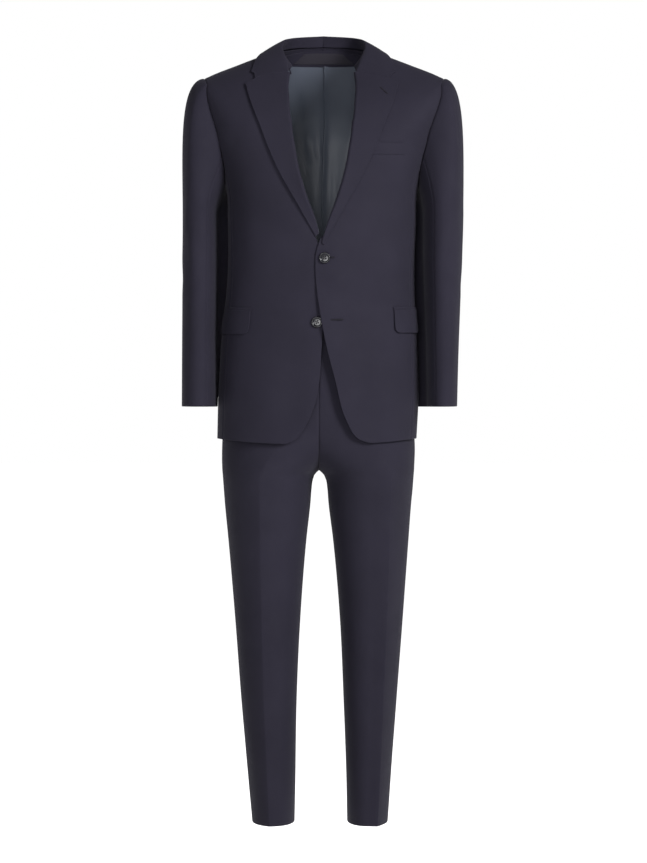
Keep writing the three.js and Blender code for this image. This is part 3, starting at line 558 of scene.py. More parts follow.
SUITING = woven("worsted", (0.0068, 0.0059, 0.0115), (0.0086, 0.0075, 0.0142), 0.85, 0.03, 900, 0.35)
LINING = woven("satin", (0.036, 0.042, 0.056), (0.049, 0.056, 0.073), 0.42, 0.1, 1400, 0.12)
LABEL = woven("label", (0.009, 0.008, 0.012), (0.012, 0.0105, 0.016), 0.6, 0.1, 1600, 0.2)
THREAD = woven("thread", (0.004, 0.0035, 0.006), (0.007, 0.006, 0.010), 0.7, 0.0, 1500, 0.2)
print("cloths:", ", ".join(m.name for m in (SUITING, LINING, LABEL, THREAD)))


# %% Horn
def make_horn():
    material, nodes, links, surface = node_tree("horn")
    cloud = add_noise(nodes, links, nodes.new("ShaderNodeTexCoord").outputs["Object"], 120.0)
    colour = add_ramp(nodes, links, cloud, (0.002, 0.002, 0.003), (0.006, 0.006, 0.009))
    links.new(colour, surface.inputs["Base Color"])
    put(surface, {"Roughness": 0.2, "Specular IOR Level": 0.14})
    put(surface, {"Coat Weight": 0.2, "Coat Roughness": 0.06})
    return material


HORN = make_horn()
print("buttons are of", HORN.name)

# %% [markdown]
# ## How each piece is cut
#
# Cloth has a flat size, which is what a tailor cuts, and it cannot stretch much from it. `sew`
# makes a panel, names the piece of the frame that it takes the place of and hides it, and prints
# the panel's width and length in metres and its area in square metres.


def sew(name, node, surface, wall, relief=0.0, free=(), material=None):
    """A panel from its points and directions."""
    points, normals = surface
    piece = cloth(name, points, normals, wall, material or SUITING, relief, free)
    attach(piece, "root")
    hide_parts(node)
    d = distances(points)
    quads = points[1:, 1:] - points[:-1, :-1], points[1:, :-1] - points[:-1, 1:]
    made = np.linalg.norm(np.cross(*quads), axis=-1).sum() / 2
    wide, tall = d["start"][:, -1].max(), d["bottom"][-1].max()
    print(f"{name}: {wide / 1000:.3f} x {tall / 1000:.3f} m, area {made / 1e6:.4f} m2")
    return piece


# %% [markdown]
# ## Folds placed one by one
#
# A worn jacket is never quite smooth: it draws softly towards the fastened button and hangs in
# long, shallow folds below the arms. Each row of a fold table is one trough, from one end to the
# other, with its own width, depth and bow, so that no two look alike. A negative depth is a ridge.


# %% Folds
def folds(across, up, rows):
    """Relief of soft troughs, in millimetres, at places across and up a panel."""
    total = np.zeros(np.broadcast(across, up).shape)
    for x0, z0, x1, z1, width, depth, bow in rows:
        dx, dz = x1 - x0, z1 - z0
        long = math.hypot(dx, dz)
        along = ((across - x0) * dx + (up - z0) * dz) / long**2
        off = ((across - x0) * dz - (up - z0) * dx) / long - bow * 4 * along * (1 - along)
        fade = np.exp(-(((along - 0.5) / 0.42) ** 4))
        trough = np.exp(-((off / width) ** 2))
        beside = np.exp(-(((np.abs(off) - 1.8 * width) / width) ** 2))
        total += fade * depth * (0.3 * beside - trough)
    return total


FRONT_FOLDS = {
    "left": [
        (178, -250, 165, -430, 15, 1.1, 6), (120, -335, 30, -385, 17, 0.8, 5),
        (110, -455, 30, -405, 19, 0.7, -4), (75, -560, 96, -735, 24, 1.3, 5),
        (150, -560, 160, -735, 20, 0.9, -4), (150, -120, 185, -190, 15, 0.7, 4),
    ],
    "right": [
        (-168, -250, -158, -440, 16, 1.3, -6), (-115, -325, -25, -380, 18, 0.9, -5),
        (-120, -465, -25, -405, 20, 0.7, 5), (-50, -570, -66, -740, 22, 1.2, -5),
        (-140, -560, -150, -735, 22, 1.0, 4), (-150, -115, -180, -195, 14, 0.8, -4),
    ],
}
BACK_FOLDS = {
    "left": [
        (60, -120, 130, -175, 20, 0.8, 6), (150, -250, 120, -430, 17, 1.4, 8),
        (70, -400, 60, -720, 26, 1.3, -6), (130, -520, 140, -730, 20, 1.0, 5),
    ],
    "right": [
        (-55, -125, -125, -165, 18, 0.9, -6), (-158, -240, -126, -420, 19, 1.2, -8),
        (-80, -390, -66, -715, 23, 1.5, 6), (-138, -540, -146, -730, 22, 0.9, -4),
    ],
}
print("folds on the fronts:", *map(len, FRONT_FOLDS.values()), "backs:", *map(len, BACK_FOLDS.values()))

# %% [markdown]
# ## The fronts, sides and backs
#
# A jacket's body is six panels. Each front runs from the front edge to the side seam and up the
# armhole to the shoulder. The side body fills in under the arm, and the back runs from the centre
# seam out to its own side. The wearer's left front stands off a little where it laps over the
# right one, and swells over the lower button.

# %% The left front's stand-off
BUTTON_CLEAR = 4.2  # how far the left front also swells over the lower button


def stand_off(side, points):
    """How far a front stands off the form at each point."""
    if side == "right":
        return np.zeros(points.shape[:-1])
    near = np.hypot(points[..., 0] - LOWER_BUTTON[0], (points[..., 2] - LOWER_BUTTON[1]) * 0.7)
    clear = BUTTON_CLEAR * (1 - ease((near - 16) / 46))
    return OVERLAP_LIFT * ease((75 - points[..., 0]) / 58) + clear


def hem_line(points, seam):
    """A front's hem: a drawn corner, then on round the form to the side seam."""
    end = seam(np.float64(0))
    places = seen_curve(points)
    bend = np.array([mix(places[-1][0], end[0], 0.55), 0.005])
    return line([*places, bend, end])


middle_of_front = body(0, 2.5)
print("stand-off at the middle:", round(float(stand_off("left", middle_of_front)), 1), "mm")

# %% [markdown]
# Above the break, where the lapel begins to turn, the front stops a little short of its drawn
# edge. The lapel's rolled fold takes up that room.

# %% A front
BREAK = {"left": -362, "right": -345}
ROLL_ROOM, ROLL_EASE = 7 / 200, 55  # share of the front's width given to the roll, and its run-in
NECK_END = NECK_ROW - 0.02


def sew_front(side, sign):
    edge_points, hem_points = (OVER_EDGE, OVER_HEM) if sign > 0 else (UNDER_EDGE, UNDER_HEM)
    shoulder_at = sign * (90 - SHOULDER_NUDGE)
    edge = line([*seen_curve(edge_points), np.array([shoulder_at, NECK_END])])
    seam = body_seam(FRONT_SEAM, FRONT_SEAM_AT, sign, -NUDGE)

    def shoulder(s):
        return np.stack([0 * s + shoulder_at, mix(NECK_END, ARMHOLE_TOP, s)])

    outer = seam_and_armhole(seam, sign, FRONT_SEAM_AT, SHOULDER_TURN)
    s, t = np.meshgrid(edge_shares(230, 3.6), edge_shares(770, 4.0))
    room = ROLL_ROOM * ease((body(*edge(t))[..., 2] - BREAK[side]) / ROLL_EASE)
    place = patch(hem_line(hem_points, seam), shoulder, edge, outer)(mix(room, 1, s), t)
    on_form, normals = on_body(place)
    panel = on_form + normals * stand_off(side, on_form)[..., None]
    d = distances(panel)
    relief = sewn(d["end"]) + sewn(d["top"])
    relief += folds(on_form[..., 0], on_form[..., 2], FRONT_FOLDS[side]) * ease(d["start"] / 25)
    node, free = f"jacket_front_{side}", ("start", "bottom")
    sew(f"front_{side}", node, (panel, normals), JACKET_WALL, relief, free)


print("fronts break at", *BREAK.values(), "mm")


# %% A side body
def sew_side(side, sign):
    front = body_seam(FRONT_SEAM, FRONT_SEAM_AT, sign, NUDGE)
    back = body_seam(BACK_SEAM, BACK_SEAM_AT, sign, -NUDGE)
    hem = line([front(np.float64(0)), np.array([sign * 94, 0]), back(np.float64(0))])

    def underarm(s):
        return armhole(sign, mix(FRONT_SEAM_AT, BACK_SEAM_AT, s))

    s, t = np.meshgrid(edge_shares(140, 4.0), edge_shares(520, 4.5))
    surface = on_body(patch(hem, underarm, front, back)(s, t))
    d = distances(surface[0])
    relief = sewn(d["start"]) + sewn(d["end"]) + sewn(d["top"])
    sew(f"side_{side}", f"jacket_side_{side}", surface, JACKET_WALL, relief, ("bottom",))


# %% A back
def sew_back(side, sign):
    seam = body_seam(BACK_SEAM, BACK_SEAM_AT, sign, NUDGE)
    outer = seam_and_armhole(seam, sign, BACK_SEAM_AT, 360 - SHOULDER_TURN)
    low = seam(np.float64(0))

    def centre(t):
        return np.stack([0 * t + sign * 180, NECK_ROW * t])

    def hem(s):
        return np.stack([mix(sign * 180, low[0], s), 0 * s])

    s, t = np.meshgrid(edge_shares(230, 4.0) ** 1.2, edge_shares(770, 4.2))
    top = neck_and_shoulder(sign, NECK_ROW, SHOULDER_NUDGE)
    panel, normals = on_body(patch(hem, top, centre, outer)(s, t))
    d = distances(panel)
    relief = sewn(d["start"]) + sewn(d["end"]) + sewn(d["top"])
    relief += folds(panel[..., 0], panel[..., 2], BACK_FOLDS[side])
    node = f"jacket_back_{side}"
    sew(f"back_{side}", node, (panel, normals), JACKET_WALL, relief, ("bottom",))


# %% Sew the body
for side, sign in SIDES.items():
    sew_front(side, sign)
    sew_side(side, sign)
    sew_back(side, sign)

# %% [markdown]
# ## Lining, neck facing and label
#
# The back is lined with a smooth satin that is cut wider than the cloth. The spare width is laid
# in a pleat down the centre, so that the wearer can reach forward. The pleat's edge shows as a
# long line in the open neck. Above the lining, a facing of the suit's own cloth finishes the neck,
# and a woven label is sewn on it; here it is left plain.

# %% Sew the lining
LINING_TOP, LINING_FOOT = NECK_ROW - 0.42, 0.25  # rows
LINING_FOLDS = {
    "left": [
        (20, -90, 16, -330, 7, 1.4, 3), (52, -110, 34, -300, 9, 1.2, -4), (75, -60, 60, -200, 10, 0.9, 3),
        (34, -380, 30, -640, 14, 1.5, 4),
    ],
    "right": [
        (-46, -40, -44, -120, 8, 2.2, -3), (-26, -110, -8, -190, 8, 2.4, 4),
        (-22, -60, -14, -330, 7, 1.2, -3), (-66, -120, -40, -330, 9, 1.4, 5),
        (-40, -380, -32, -650, 14, 1.3, -4),
    ],
}
SEAM_FOOT = 0.045  # share of the side seam below the lining's hem
PLEAT_ROOM = 0.955  # share of the panel that is left when the pleat is laid
PLEAT_RISE, PLEAT_WIDE = 1.6, 7
LINING_LOW_GAP, LINING_HIGH_GAP = 1.8, 6  # air behind the lining at the hem and at the neck


def sew_lining(side, sign):
    seam = body_seam(BACK_SEAM, BACK_SEAM_AT, sign, NUDGE)

    def raised(t):
        return seam(mix(SEAM_FOOT, 1, t))

    low = raised(np.float64(0))

    def centre(t):
        return np.stack([0 * t + sign * 180, mix(LINING_FOOT, LINING_TOP, t)])

    def hem(s):
        return np.stack([mix(sign * 180, low[0], s), mix(LINING_FOOT, low[1], s)])

    outer = seam_and_armhole(raised, sign, BACK_SEAM_AT, 360, -12)
    top = neck_and_shoulder(sign, LINING_TOP, 2.5)
    s, t = np.meshgrid(PLEAT_ROOM * edge_shares(220, 3.6) ** 1.2, edge_shares(730, 4.6))
    place = patch(hem, top, centre, outer)(s, t)
    gap = mix(LINING_LOW_GAP, LINING_HIGH_GAP, ease((place[1] - 0.5) / 7.5))
    panel, inward = inside(place, JACKET_WALL + gap + LINING_WALL)
    d = distances(panel)
    relief = folds(panel[..., 0], panel[..., 2], LINING_FOLDS[side])
    relief += PLEAT_RISE * sign * np.exp(-((d["start"] / PLEAT_WIDE) ** 2))
    surface, free, node = (panel, inward), ("start",), f"back_lining_{side}"
    sew(f"lining_{side}", node, surface, LINING_WALL, relief, free, material=LINING)


for side, sign in SIDES.items():
    sew_lining(side, sign)

# %% Sew the neck facing and the label
FACING_FOOT, FACING_TOP = LINING_TOP - 0.015, NECK_ROW - 0.06  # rows
FACING_END, FACING_GAP, FACING_RISE, FACING_WALL = 2.5, 5.2, 0.9, 1.4
s, t = np.meshgrid(edge_shares(330, 3.0), edge_shares(36, 1.8))
place = np.stack([mix(90 + FACING_END, 270 - FACING_END, s), mix(FACING_FOOT, FACING_TOP, t)])
surface = inside(place, JACKET_WALL + FACING_GAP + FACING_WALL)
lies = ("laid", "back_left", "back_right")
sew("neck_facing_cloth", "neck_facing", surface, FACING_WALL, FACING_RISE, ("bottom",))

LABEL_TABLE = table("half row", [(28, 9.635), (20.5, 9.9)])
LABEL_DEPTH, LABEL_WALL = 10.4, 0.7
s, t = np.meshgrid(edge_shares(130, 2.0), edge_shares(27, 1.5))
place = np.stack([180 + (2 * s - 1) * mix(*LABEL_TABLE["half"], t), mix(*LABEL_TABLE["row"], t)])
surface, free = inside(place, LABEL_DEPTH + LABEL_WALL), ("start", "end", "bottom", "top")
lies = ("laid", "neck_facing_cloth")
sew("label_plain", "neck_label", surface, LABEL_WALL, 0.0, free, material=LABEL)

# %% [markdown]
# ## Lapels
#
# A lapel is the top of the front, folded back on itself. Its fold, the roll line, is never
# ironed flat: a good lapel rolls over in a soft curve and lies down towards its outer edge. The
# grid below starts inside the jacket, flush with the front's inner face, runs round the roll as
# an arc and then spreads out over the chest to the lapel's edge.


# %% Lay a lapel on the chest
def seen_line(points, sign):
    return line(seen_curve([(LAPEL_MIDDLE + sign * out, z) for out, z in points]))


LAPEL_LONG, LAPEL_WIDE = 345, 80
ROLL_TIGHT, ROLL_FULL = 2.4, 2.9  # the roll's radius at the foot, and how much it grows above
LAPEL_FALL, LAPEL_SPRING = 2.8, 3  # how far the lapel lies off the front, and more at the roll


def lay_lapel(side, sign):
    """The lapel from its roll out to its edge, with directions and the roll's radius."""
    roll, edge = LAPEL_FOOT[side]
    place_at = patch(
        seen_line([roll, edge], sign), seen_line(GORGE, sign),
        seen_line([roll, *LAPEL_ROLL], sign), seen_line([edge, *LAPEL_EDGE], sign),
    )
    steps = edge_shares(LAPEL_LONG, 2.8)
    swell = np.minimum(1, 4 * steps)[:, None]
    radius = ROLL_TIGHT + ROLL_FULL * swell
    begin = np.clip((radius[:, 0] - 2.0) / (4 + LAPEL_WIDE * steps), 0, 0.4)
    s = mix(begin[:, None], 1, (1 - edge_shares(LAPEL_WIDE, 2.4)[::-1])[None, :])
    on_form, normals = on_body(place_at(s, np.broadcast_to(steps[:, None], s.shape)))
    fall = swell * (LAPEL_FALL + LAPEL_SPRING * (1 - s) ** 3)
    lift = stand_off(side, on_form) + LAPEL_WALL + LAY_GAP + fall
    return on_form + normals * lift[..., None], normals, radius


# %% Roll it and sew it
ROLL_STEPS = 15
LAPEL_TOPS = {}
for side, sign in SIDES.items():
    flat, normals, radius = lay_lapel(side, sign)
    start, up = flat[:, :1], normals[:, :1]
    away = unit(flat[:, :1] - flat[:, 3:4])
    away = unit(away - up * (away * up).sum(-1, keepdims=True))
    turn = np.radians(np.linspace(180, 0, ROLL_STEPS)[:-1])[None, :, None]
    bend = radius[..., None]
    arc = start + away * bend * np.sin(turn) - up * bend * (1 - np.cos(turn))
    tail = arc[:, :1] - away * np.array([3.0, 1.5])[None, :, None]
    points = np.concatenate([tail, arc, flat], axis=1)
    arc_normals = up * np.cos(turn) + away * np.sin(turn)
    normals = np.concatenate([np.repeat(-up, 2, axis=1), arc_normals, normals], axis=1)
    surface, free, lies = (points, normals), ("end", "bottom", "top"), ("folded", f"front_{side}")
    sew(f"lapel_{side}_cloth", f"lapel_{side}", surface, 2.0, 0.0, free)
    LAPEL_TOPS[side] = flat[-1]

# %% [markdown]
# ## Collar
#
# The collar has two parts. The stand rises inside the neck, and the fall turns over it and lies
# on the shoulders. Its fold is a smooth hinge: far from the fold each part is straight, and near
# it the two directions blend. Each front end is sewn to the top of a lapel along the gorge, and
# the last quarter of it stays free. The gap that this leaves is the notch.

# %% The collar's form
COLLAR_MIDDLE = 6
COLLAR = table(
    "at roll_x roll_y roll_z leaf_x leaf_y leaf_z seam_x seam_y seam_z",
    [
        (0, 62, -67, -29, 140, -63, -29, 62, -60, -33),
        (0.2, 74, -46, 3, 132, -37, -2, 71, -42, -1),
        (0.45, 77, -8, 38, 113, 2, 18, 84, -2, 25),
        (0.7, 58, 36, 55, 84, 57, 15, 66, 46, 33),
        (1, 0, 59, 63, 0, 75, 12, 0, 61.5, 38),
    ],
)
GORGE_END = 0.75  # the share of the collar's end that is sewn to the lapel
LAPEL_SHARE = 0.71  # the share of the lapel's top that it is sewn to
FOLD_ROUND = 5.0
COLLAR_SWELL = 2.5
COLLAR_CLOTH = 2.0


def collar_line(name, around, sign):
    x, y, z = (smooth(COLLAR, "at", f"{name}_{axis}", around) for axis in "xyz")
    return np.stack([COLLAR_MIDDLE + sign * x, y, z], axis=-1)


def collar_surface(around, sign, across):
    """Points of the collar: across is in millimetres, below zero on the stand side of the fold."""
    roll, leaf, seam = (collar_line(n, around, sign) for n in ("roll", "leaf", "seam"))
    leaf_long = np.linalg.norm(leaf - roll, axis=-1)
    seam_long = np.linalg.norm(seam - roll, axis=-1)
    soft = np.sqrt(across**2 + FOLD_ROUND**2)
    out, down = (soft + across) / 2, (soft - across) / 2
    s = np.clip(out / leaf_long, 0, 1.05)
    lift = COLLAR_SWELL * np.sin(np.pi * np.clip(s, 0, 1))
    point = roll + (leaf - roll) * s[..., None] + (seam - roll) * (down / seam_long)[..., None]
    point[..., 0] += (point[..., 0] - COLLAR_MIDDLE) * lift / 100
    point[..., 1] += lift * (around - 0.5)
    point[..., 2] += lift * 0.7
    return point


print("the collar is a table of", len(COLLAR["at"]), "places")


# %% Places round the neck
def round_neck(count):
    """Shares round the neck from the right front by the back to the left front, with sides."""
    half = edge_shares(250, 250 / count)
    half = half[half > 0]
    around = np.concatenate([np.append(0, half[half < 1]), [1.0], np.append(0, half[half < 1])[::-1]])
    sign = np.concatenate([-np.ones(len(half)), [1.0], np.ones(len(half))])
    return around, sign


def directions(points):
    """Directions straight out of a grid of points."""
    across, up = np.gradient(points, axis=1), np.gradient(points, axis=0)
    return unit(np.cross(across, up))


middle_back = collar_line("roll", 1.0, 1)
print("the collar's fold is", round(float(middle_back[2])), "mm up at the back")

# %% Lay the fall
BELOW, HINGE = -24, 12  # how far the fall's cloth reaches inside, and where the fold's bend ends
around, neck_side = round_neck(85)
roll, leaf, seam = (collar_line(name, around, neck_side) for name in ("roll", "leaf", "seam"))
fall_long = np.linalg.norm(leaf - roll, axis=-1)
near_fold = np.repeat(np.linspace(BELOW, HINGE, 22)[:, None], len(around), 1)
beyond = edge_shares(1, 0.05, (0, 0.007, 0.016, 0.03))
beyond = beyond[beyond > 0]
across = np.concatenate([near_fold, mix(HINGE, fall_long[None, :] - 1.0, beyond[:, None])])
a, g = np.broadcast_to(around, across.shape), np.broadcast_to(neck_side, across.shape)
fall_points = collar_surface(a, g, across)
fall_points = fall_points + directions(fall_points) * COLLAR_CLOTH
share_out = np.clip(across / fall_long[None, :], 0, 1)
print("the fall is", round(float(fall_long.min())), "to", round(float(fall_long.max())), "mm deep")

# %% Bring its ends to the lapels and sew it
for side, sign in SIDES.items():
    end = -1 if sign > 0 else 0
    lapel_top = LAPEL_TOPS[side]
    lapel_shares = np.linspace(0, 1, len(lapel_top))
    want_at = np.clip(share_out[:, end] / GORGE_END, 0, 1) * LAPEL_SHARE
    wanted = np.stack([np.interp(want_at, lapel_shares, lapel_top[:, k]) for k in range(3)], -1)
    shift = wanted - fall_points[:, end]
    free = ease((1 - share_out[:, end]) / (1 - GORGE_END))
    shift = shift * np.where(share_out[:, end] > GORGE_END, free, 1)[:, None]
    fade = np.clip(1 - around / 0.3, 0, 1) ** 2 * (neck_side == sign)
    fall_points = fall_points + shift[:, None, :] * fade[None, :, None]
surface, free = (fall_points, directions(fall_points)), ("top", "start", "end")
lies = ("folded", "back_left", "back_right")
sew("collar_fall_cloth", "collar_fall", surface, COLLAR_CLOTH, 0.0, free)

# %% Sew the stand inside it
STAND_TOP = 0.26  # the share of the way down from the fold where the stand begins
low = mix(STAND_TOP, 1, edge_shares(20, 2.0))[:, None, None]
stand_points = mix(roll[None], seam[None], low)
surface, lies = (stand_points, -directions(stand_points)), ("stretched", "back_left", "back_right")
sew("collar_stand_cloth", "collar_stand", surface, JACKET_WALL, 0.0, ("top",))

# %% [markdown]
# ## Sleeves
#
# A tailored sleeve is cut in two: a wide top sleeve and a narrow under sleeve, curved like a
# resting arm. Its head is larger than the armhole and is eased in, so it swells just beyond the
# seam. The cap leaves the armhole sideways at the shoulder and downwards at the armpit, and
# settles into a tube that hangs with the cuff forward.

# %% A sleeve's rings
SLEEVE_FRONT_SEAM, SLEEVE_BACK_SEAM, SLEEVE_NUDGE = 122, 248, 0.15
CAP_LOW, CUFF = -300, -672
ALLOWANCE = 2.8  # how far the sleeve's head is tucked under the body at its seam


def sleeve_ring(side, turn, z):
    read = {k: smooth(SLEEVES[side], "z", k, z) for k in ("outside", "inside", "front", "back", "lean")}
    a, e = np.radians(turn), 2 / SLEEVE_SQUARENESS
    out, into, front, back = (read[k] for k in ("outside", "inside", "front", "back"))
    x = (out + into) / 2 + (out - into) / 2 * power(np.cos(a), e)
    y = (front + back) / 2 - (back - front) / 2 * power(np.sin(a), e)
    rear_inner = (np.sin(a) < 0) & (np.cos(a) < 0)
    x = x - np.where(rear_inner, read["lean"] * np.sin(2 * a) ** 2, 0)
    return np.stack([SIDES[side] * x, y, z + 0 * x], axis=-1)


cuff = sleeve_ring("left", np.linspace(0, 360, 90), CUFF)
cuff_round = np.linalg.norm(np.diff(cuff, axis=0), axis=-1).sum()
print("a cuff is", round(float(cuff_round)), "mm round")


# %% From the armhole to the cuff
def sleeve_point(side, turn, down):
    """down is from 0 at the armhole to 1 at the foot of the cap, then 2 at the cuff."""
    sign = SIDES[side]
    t = np.clip(down, 0, 1)[..., None]
    place = armhole(sign, turn, 0.2)
    start = body(*place) + body_normal(*place) * 0.4
    end = sleeve_ring(side, turn, CAP_LOW + 0 * turn)
    chord = np.linalg.norm(start - end, axis=-1)
    a = np.radians(turn)
    high = (1 + np.cos(a)) / 2
    away = np.stack(
        [
            sign * chord * mix(0.12, HEAD_OUT[side], high),
            -chord * 0.22 * np.sin(a),
            chord * mix(-0.9, -0.03, high),
        ],
        axis=-1,
    )
    drop = np.stack([0 * chord, 0 * chord, -chord * (1 + 0.4 * high)], axis=-1)
    cap = start * (2 * t**3 - 3 * t**2 + 1) + away * (t**3 - 2 * t**2 + t)
    cap = cap + end * (3 * t**2 - 2 * t**3) + drop * (t**3 - t**2)
    tube = sleeve_ring(side, turn, CAP_LOW + (CUFF - CAP_LOW) * np.clip(down - 1, 0, 1))
    return np.where((down <= 1)[..., None], cap, tube)



def directions_of(surface, u, v, du, dv, low=-np.inf, high=np.inf):
    """Directions straight out of a surface of two numbers."""
    across = surface(u + du, v) - surface(u - du, v)
    up = surface(u, np.clip(v + dv, low, high)) - surface(u, np.clip(v - dv, low, high))
    return unit(np.cross(across, up))


def facing_away(outward, away):
    """The same directions, all turned round if on the whole they point against away."""
    return outward if (outward * away).sum() > 0 else -outward


head = sleeve_point("left", np.array([0.0, 180.0]), np.zeros(2))
print("a sleeve's head is", round(float(head[0, 2] - head[1, 2])), "mm tall")

# %% The sleeves' folds
SLEEVE_FOLDS = {
    "left": [
        (60, -300, 96, -430, 16, 1.3, 6), (100, -420, 30, -480, 15, 1.1, -6),
        (20, -250, 50, -360, 17, 0.9, 5), (60, -460, 66, -660, 16, -0.9, 3),
        (95, -500, 110, -660, 16, 0.8, -4), (-40, -380, 20, -450, 18, 1.0, 6),
    ],
    "right": [
        (58, -240, 40, -345, 13, -1.1, -5), (84, -270, 110, -420, 17, 1.2, 6),
        (104, -430, 36, -470, 15, 1.2, 5), (30, -330, 62, -450, 18, 0.8, -5),
        (64, -500, 76, -650, 18, 0.9, 4), (-36, -400, 24, -440, 17, 0.9, -5),
    ],
}
print("folds on the sleeves:", *map(len, SLEEVE_FOLDS.values()))

# %% Sew the sleeves
SLEEVE_PARTS = {
    "top": (SLEEVE_BACK_SEAM - 360, SLEEVE_FRONT_SEAM, 320),
    "under": (SLEEVE_FRONT_SEAM, SLEEVE_BACK_SEAM, 150),
}  # the turns between which each part runs, and its width
SLEEVE_DOWN = np.concatenate([np.linspace(0, 1, 62) ** 1.15, 1 + edge_shares(372, 4.2)[1:]])
ARM_MIDDLE = np.array([232, -20, 0])
HEAD_RISE = 0.3  # how far the eased head swells beyond its seam


def sew_sleeve(part, side, sign):
    first, last, wide = SLEEVE_PARTS[part]
    ends = first + SLEEVE_NUDGE, last - SLEEVE_NUDGE
    turn, low = np.meshgrid(mix(*ends, edge_shares(wide, 4.0)), SLEEVE_DOWN)

    def surface(u, v):
        return sleeve_point(side, u, v)

    points = surface(turn, low)
    away = (points - ARM_MIDDLE * [sign, 1, 1]) * [1, 1, 0]
    outward = facing_away(directions_of(surface, turn, low, 1, 0.02, 0, 2), away)
    d = distances(points)
    head = ease((1 - low) / 0.8) * np.clip(np.cos(np.radians(turn)) + 0.35, 0, 1)
    relief = sewn(d["start"], 0.5) + sewn(d["end"], 0.5) + sewn(d["bottom"], 0.5, 2.0)
    relief += HEAD_RISE * head * np.exp(-(((d["bottom"] - 11) / 8) ** 2))
    round_arm = np.where(turn > 180, turn - 360, turn) * 1.0
    relief += folds(round_arm, points[..., 2], SLEEVE_FOLDS[side]) * ease(d["top"] / 20)
    toward_body = unit(points[:1] - points[1:2])
    tucked = points[:1] - outward[:1] * ALLOWANCE + toward_body * ALLOWANCE
    sewn_in = np.concatenate([tucked, points]), np.concatenate([toward_body, outward])
    relief = np.concatenate([0 * relief[:1], relief])
    name, node, cut = f"sleeve_{part}_{side}", f"{part}_sleeve_{side}", f"{part}_sleeve"
    sew(name, node, sewn_in, SLEEVE_WALL, relief, ("top",))


for side, sign in SIDES.items():
    for part in SLEEVE_PARTS:
        sew_sleeve(part, side, sign)

# %% [markdown]
# ## Pockets
#
# Each hip pocket is cut into the front and its mouth is bound with a narrow jetting. A flap hangs
# from it, lined and pressed, with rounded lower corners. The breast pocket has a welt: a folded
# strip that is sewn on at its foot and stands open along its top.

# %% Sew the flaps and jettings
FLAPS = {"left": (44.5, 79, 2.41, 2.0), "right": (40, 77, 2.39, 1.98)}  # angles, then rows
CORNER = 11.0  # radius of a flap's lower corners
ALL_ROUND = ("start", "end", "bottom", "top")


def sew_flap(side, sign, first, last, top_row, low_row):
    s, t = np.meshgrid(edge_shares(80, 1.6), edge_shares(49, 1.6))
    place = np.stack([sign * mix(first, last, s), mix(low_row, top_row, t)])
    d = distances(body(*place))
    for near in ("start", "end"):
        within = np.clip(CORNER - d[near], 0, CORNER)
        raise_by = CORNER - np.sqrt(np.maximum(CORNER**2 - within**2, 0))
        place[1] += (top_row - low_row) * raise_by / d["bottom"][-1:] * (1 - t)
    on_form, normals = on_body(place)
    lift = JACKET_WALL + 1.3 + 1.5 * (1 - t)
    surface, lies = (on_form + normals * lift[..., None], normals), ("hung", f"front_{side}")
    sew(f"pocket_flap_{side}", f"flap_{side}", surface, JACKET_WALL, 0.0, ALL_ROUND)


def sew_jetting(side, sign, first, last, top_row):
    s, t = np.meshgrid(edge_shares(80, 1.6), edge_shares(6, 0.8, (0, 0.35, 0.8)))
    place = np.stack([sign * mix(first - 0.6, last + 0.4, s), top_row + mix(-0.004, 0.05, t)])
    on_form, normals = on_body(place)
    panel = on_form + normals * (1.6 + 0.9 * np.sin(np.pi * t) ** 0.6)[..., None]
    surface, lies = (panel, normals), ("folded", f"front_{side}")
    name, node = f"pocket_jetting_{side}", f"jetting_{side}"
    sew(name, node, surface, 1.2, 0.0, ("top",))


for side, sign in SIDES.items():
    sew_flap(side, sign, *FLAPS[side])
    sew_jetting(side, sign, *FLAPS[side][:3])


# %% Sew the breast welt
def welt_line(z, rise):
    return seen_line([(74, z), (115.5, z + rise), (157, z + 2 * rise)], 1)


s, t = np.meshgrid(edge_shares(84, 1.6), edge_shares(23, 1.2))
on_form, normals = on_body(mix(welt_line(-195, 1)(s), welt_line(-172, 0.5)(s), t))
surface = on_form + normals * (1.5 + 1.0 * t)[..., None], normals
lies = ("folded", "front_left")
sew("pocket_welt", "breast_welt", surface, 1.4, 0.0, ALL_ROUND)

# %% [markdown]
# ## Trousers
#
# Trousers have a front and a back for each leg, joined at the side seam and the inseam, and a
# band at the waist. A sharp crease is pressed down the middle of every front and back. A leg is
# read as a ring that gets cut off at the middle of the body above the fork.

# %% The legs' form
CREASES = {"left": {"front": 64, "back": -104}, "right": {"front": 82, "back": -96}}
CREASE_RISE = {"left": (8.5, 4.5), "right": (4.2, 4.5)}
CREASE_WIDE, CREASE_TOP, CREASE_FULL = 26, -640, -900
FLY_GAP, SIDE_NUDGE, INSEAM_NUDGE = -0.6, 0.08, 0.15
FORK_Z = -800


def leg_sides(side, z):
    return smooth(LEGS, "z", f"{side}_out", z), smooth(LEGS, "z", f"{side}_in", z)


def leg_point(side, turn, z):
    """Points of one leg; turn is 0 at the side seam, 90 in front and 180 at the inseam."""
    out, into = leg_sides(side, z)
    front, back = smooth(LEGS, "z", "front", z), smooth(LEGS, "z", "back", z)
    a, e = np.radians(turn), 2 / LEG_SQUARENESS
    pressed = 1 - ease((z - CREASE_FULL) / (CREASE_TOP - CREASE_FULL))

    def ridge(centre):
        off = np.abs((turn - centre + 180) % 360 - 180)
        return np.maximum(0, 1 - off / CREASE_WIDE) ** 1.5

    x = (out + into) / 2 + (out - into) / 2 * power(np.cos(a), e)
    y = (front + back) / 2 - (back - front) / 2 * power(np.sin(a), e)
    fore, aft = CREASE_RISE[side]
    y = y + pressed * (aft * ridge(CREASES[side]["back"]) - fore * ridge(CREASES[side]["front"]))
    return np.stack([TROUSER_MIDDLE + SIDES[side] * x, y, z + 0 * x], axis=-1)


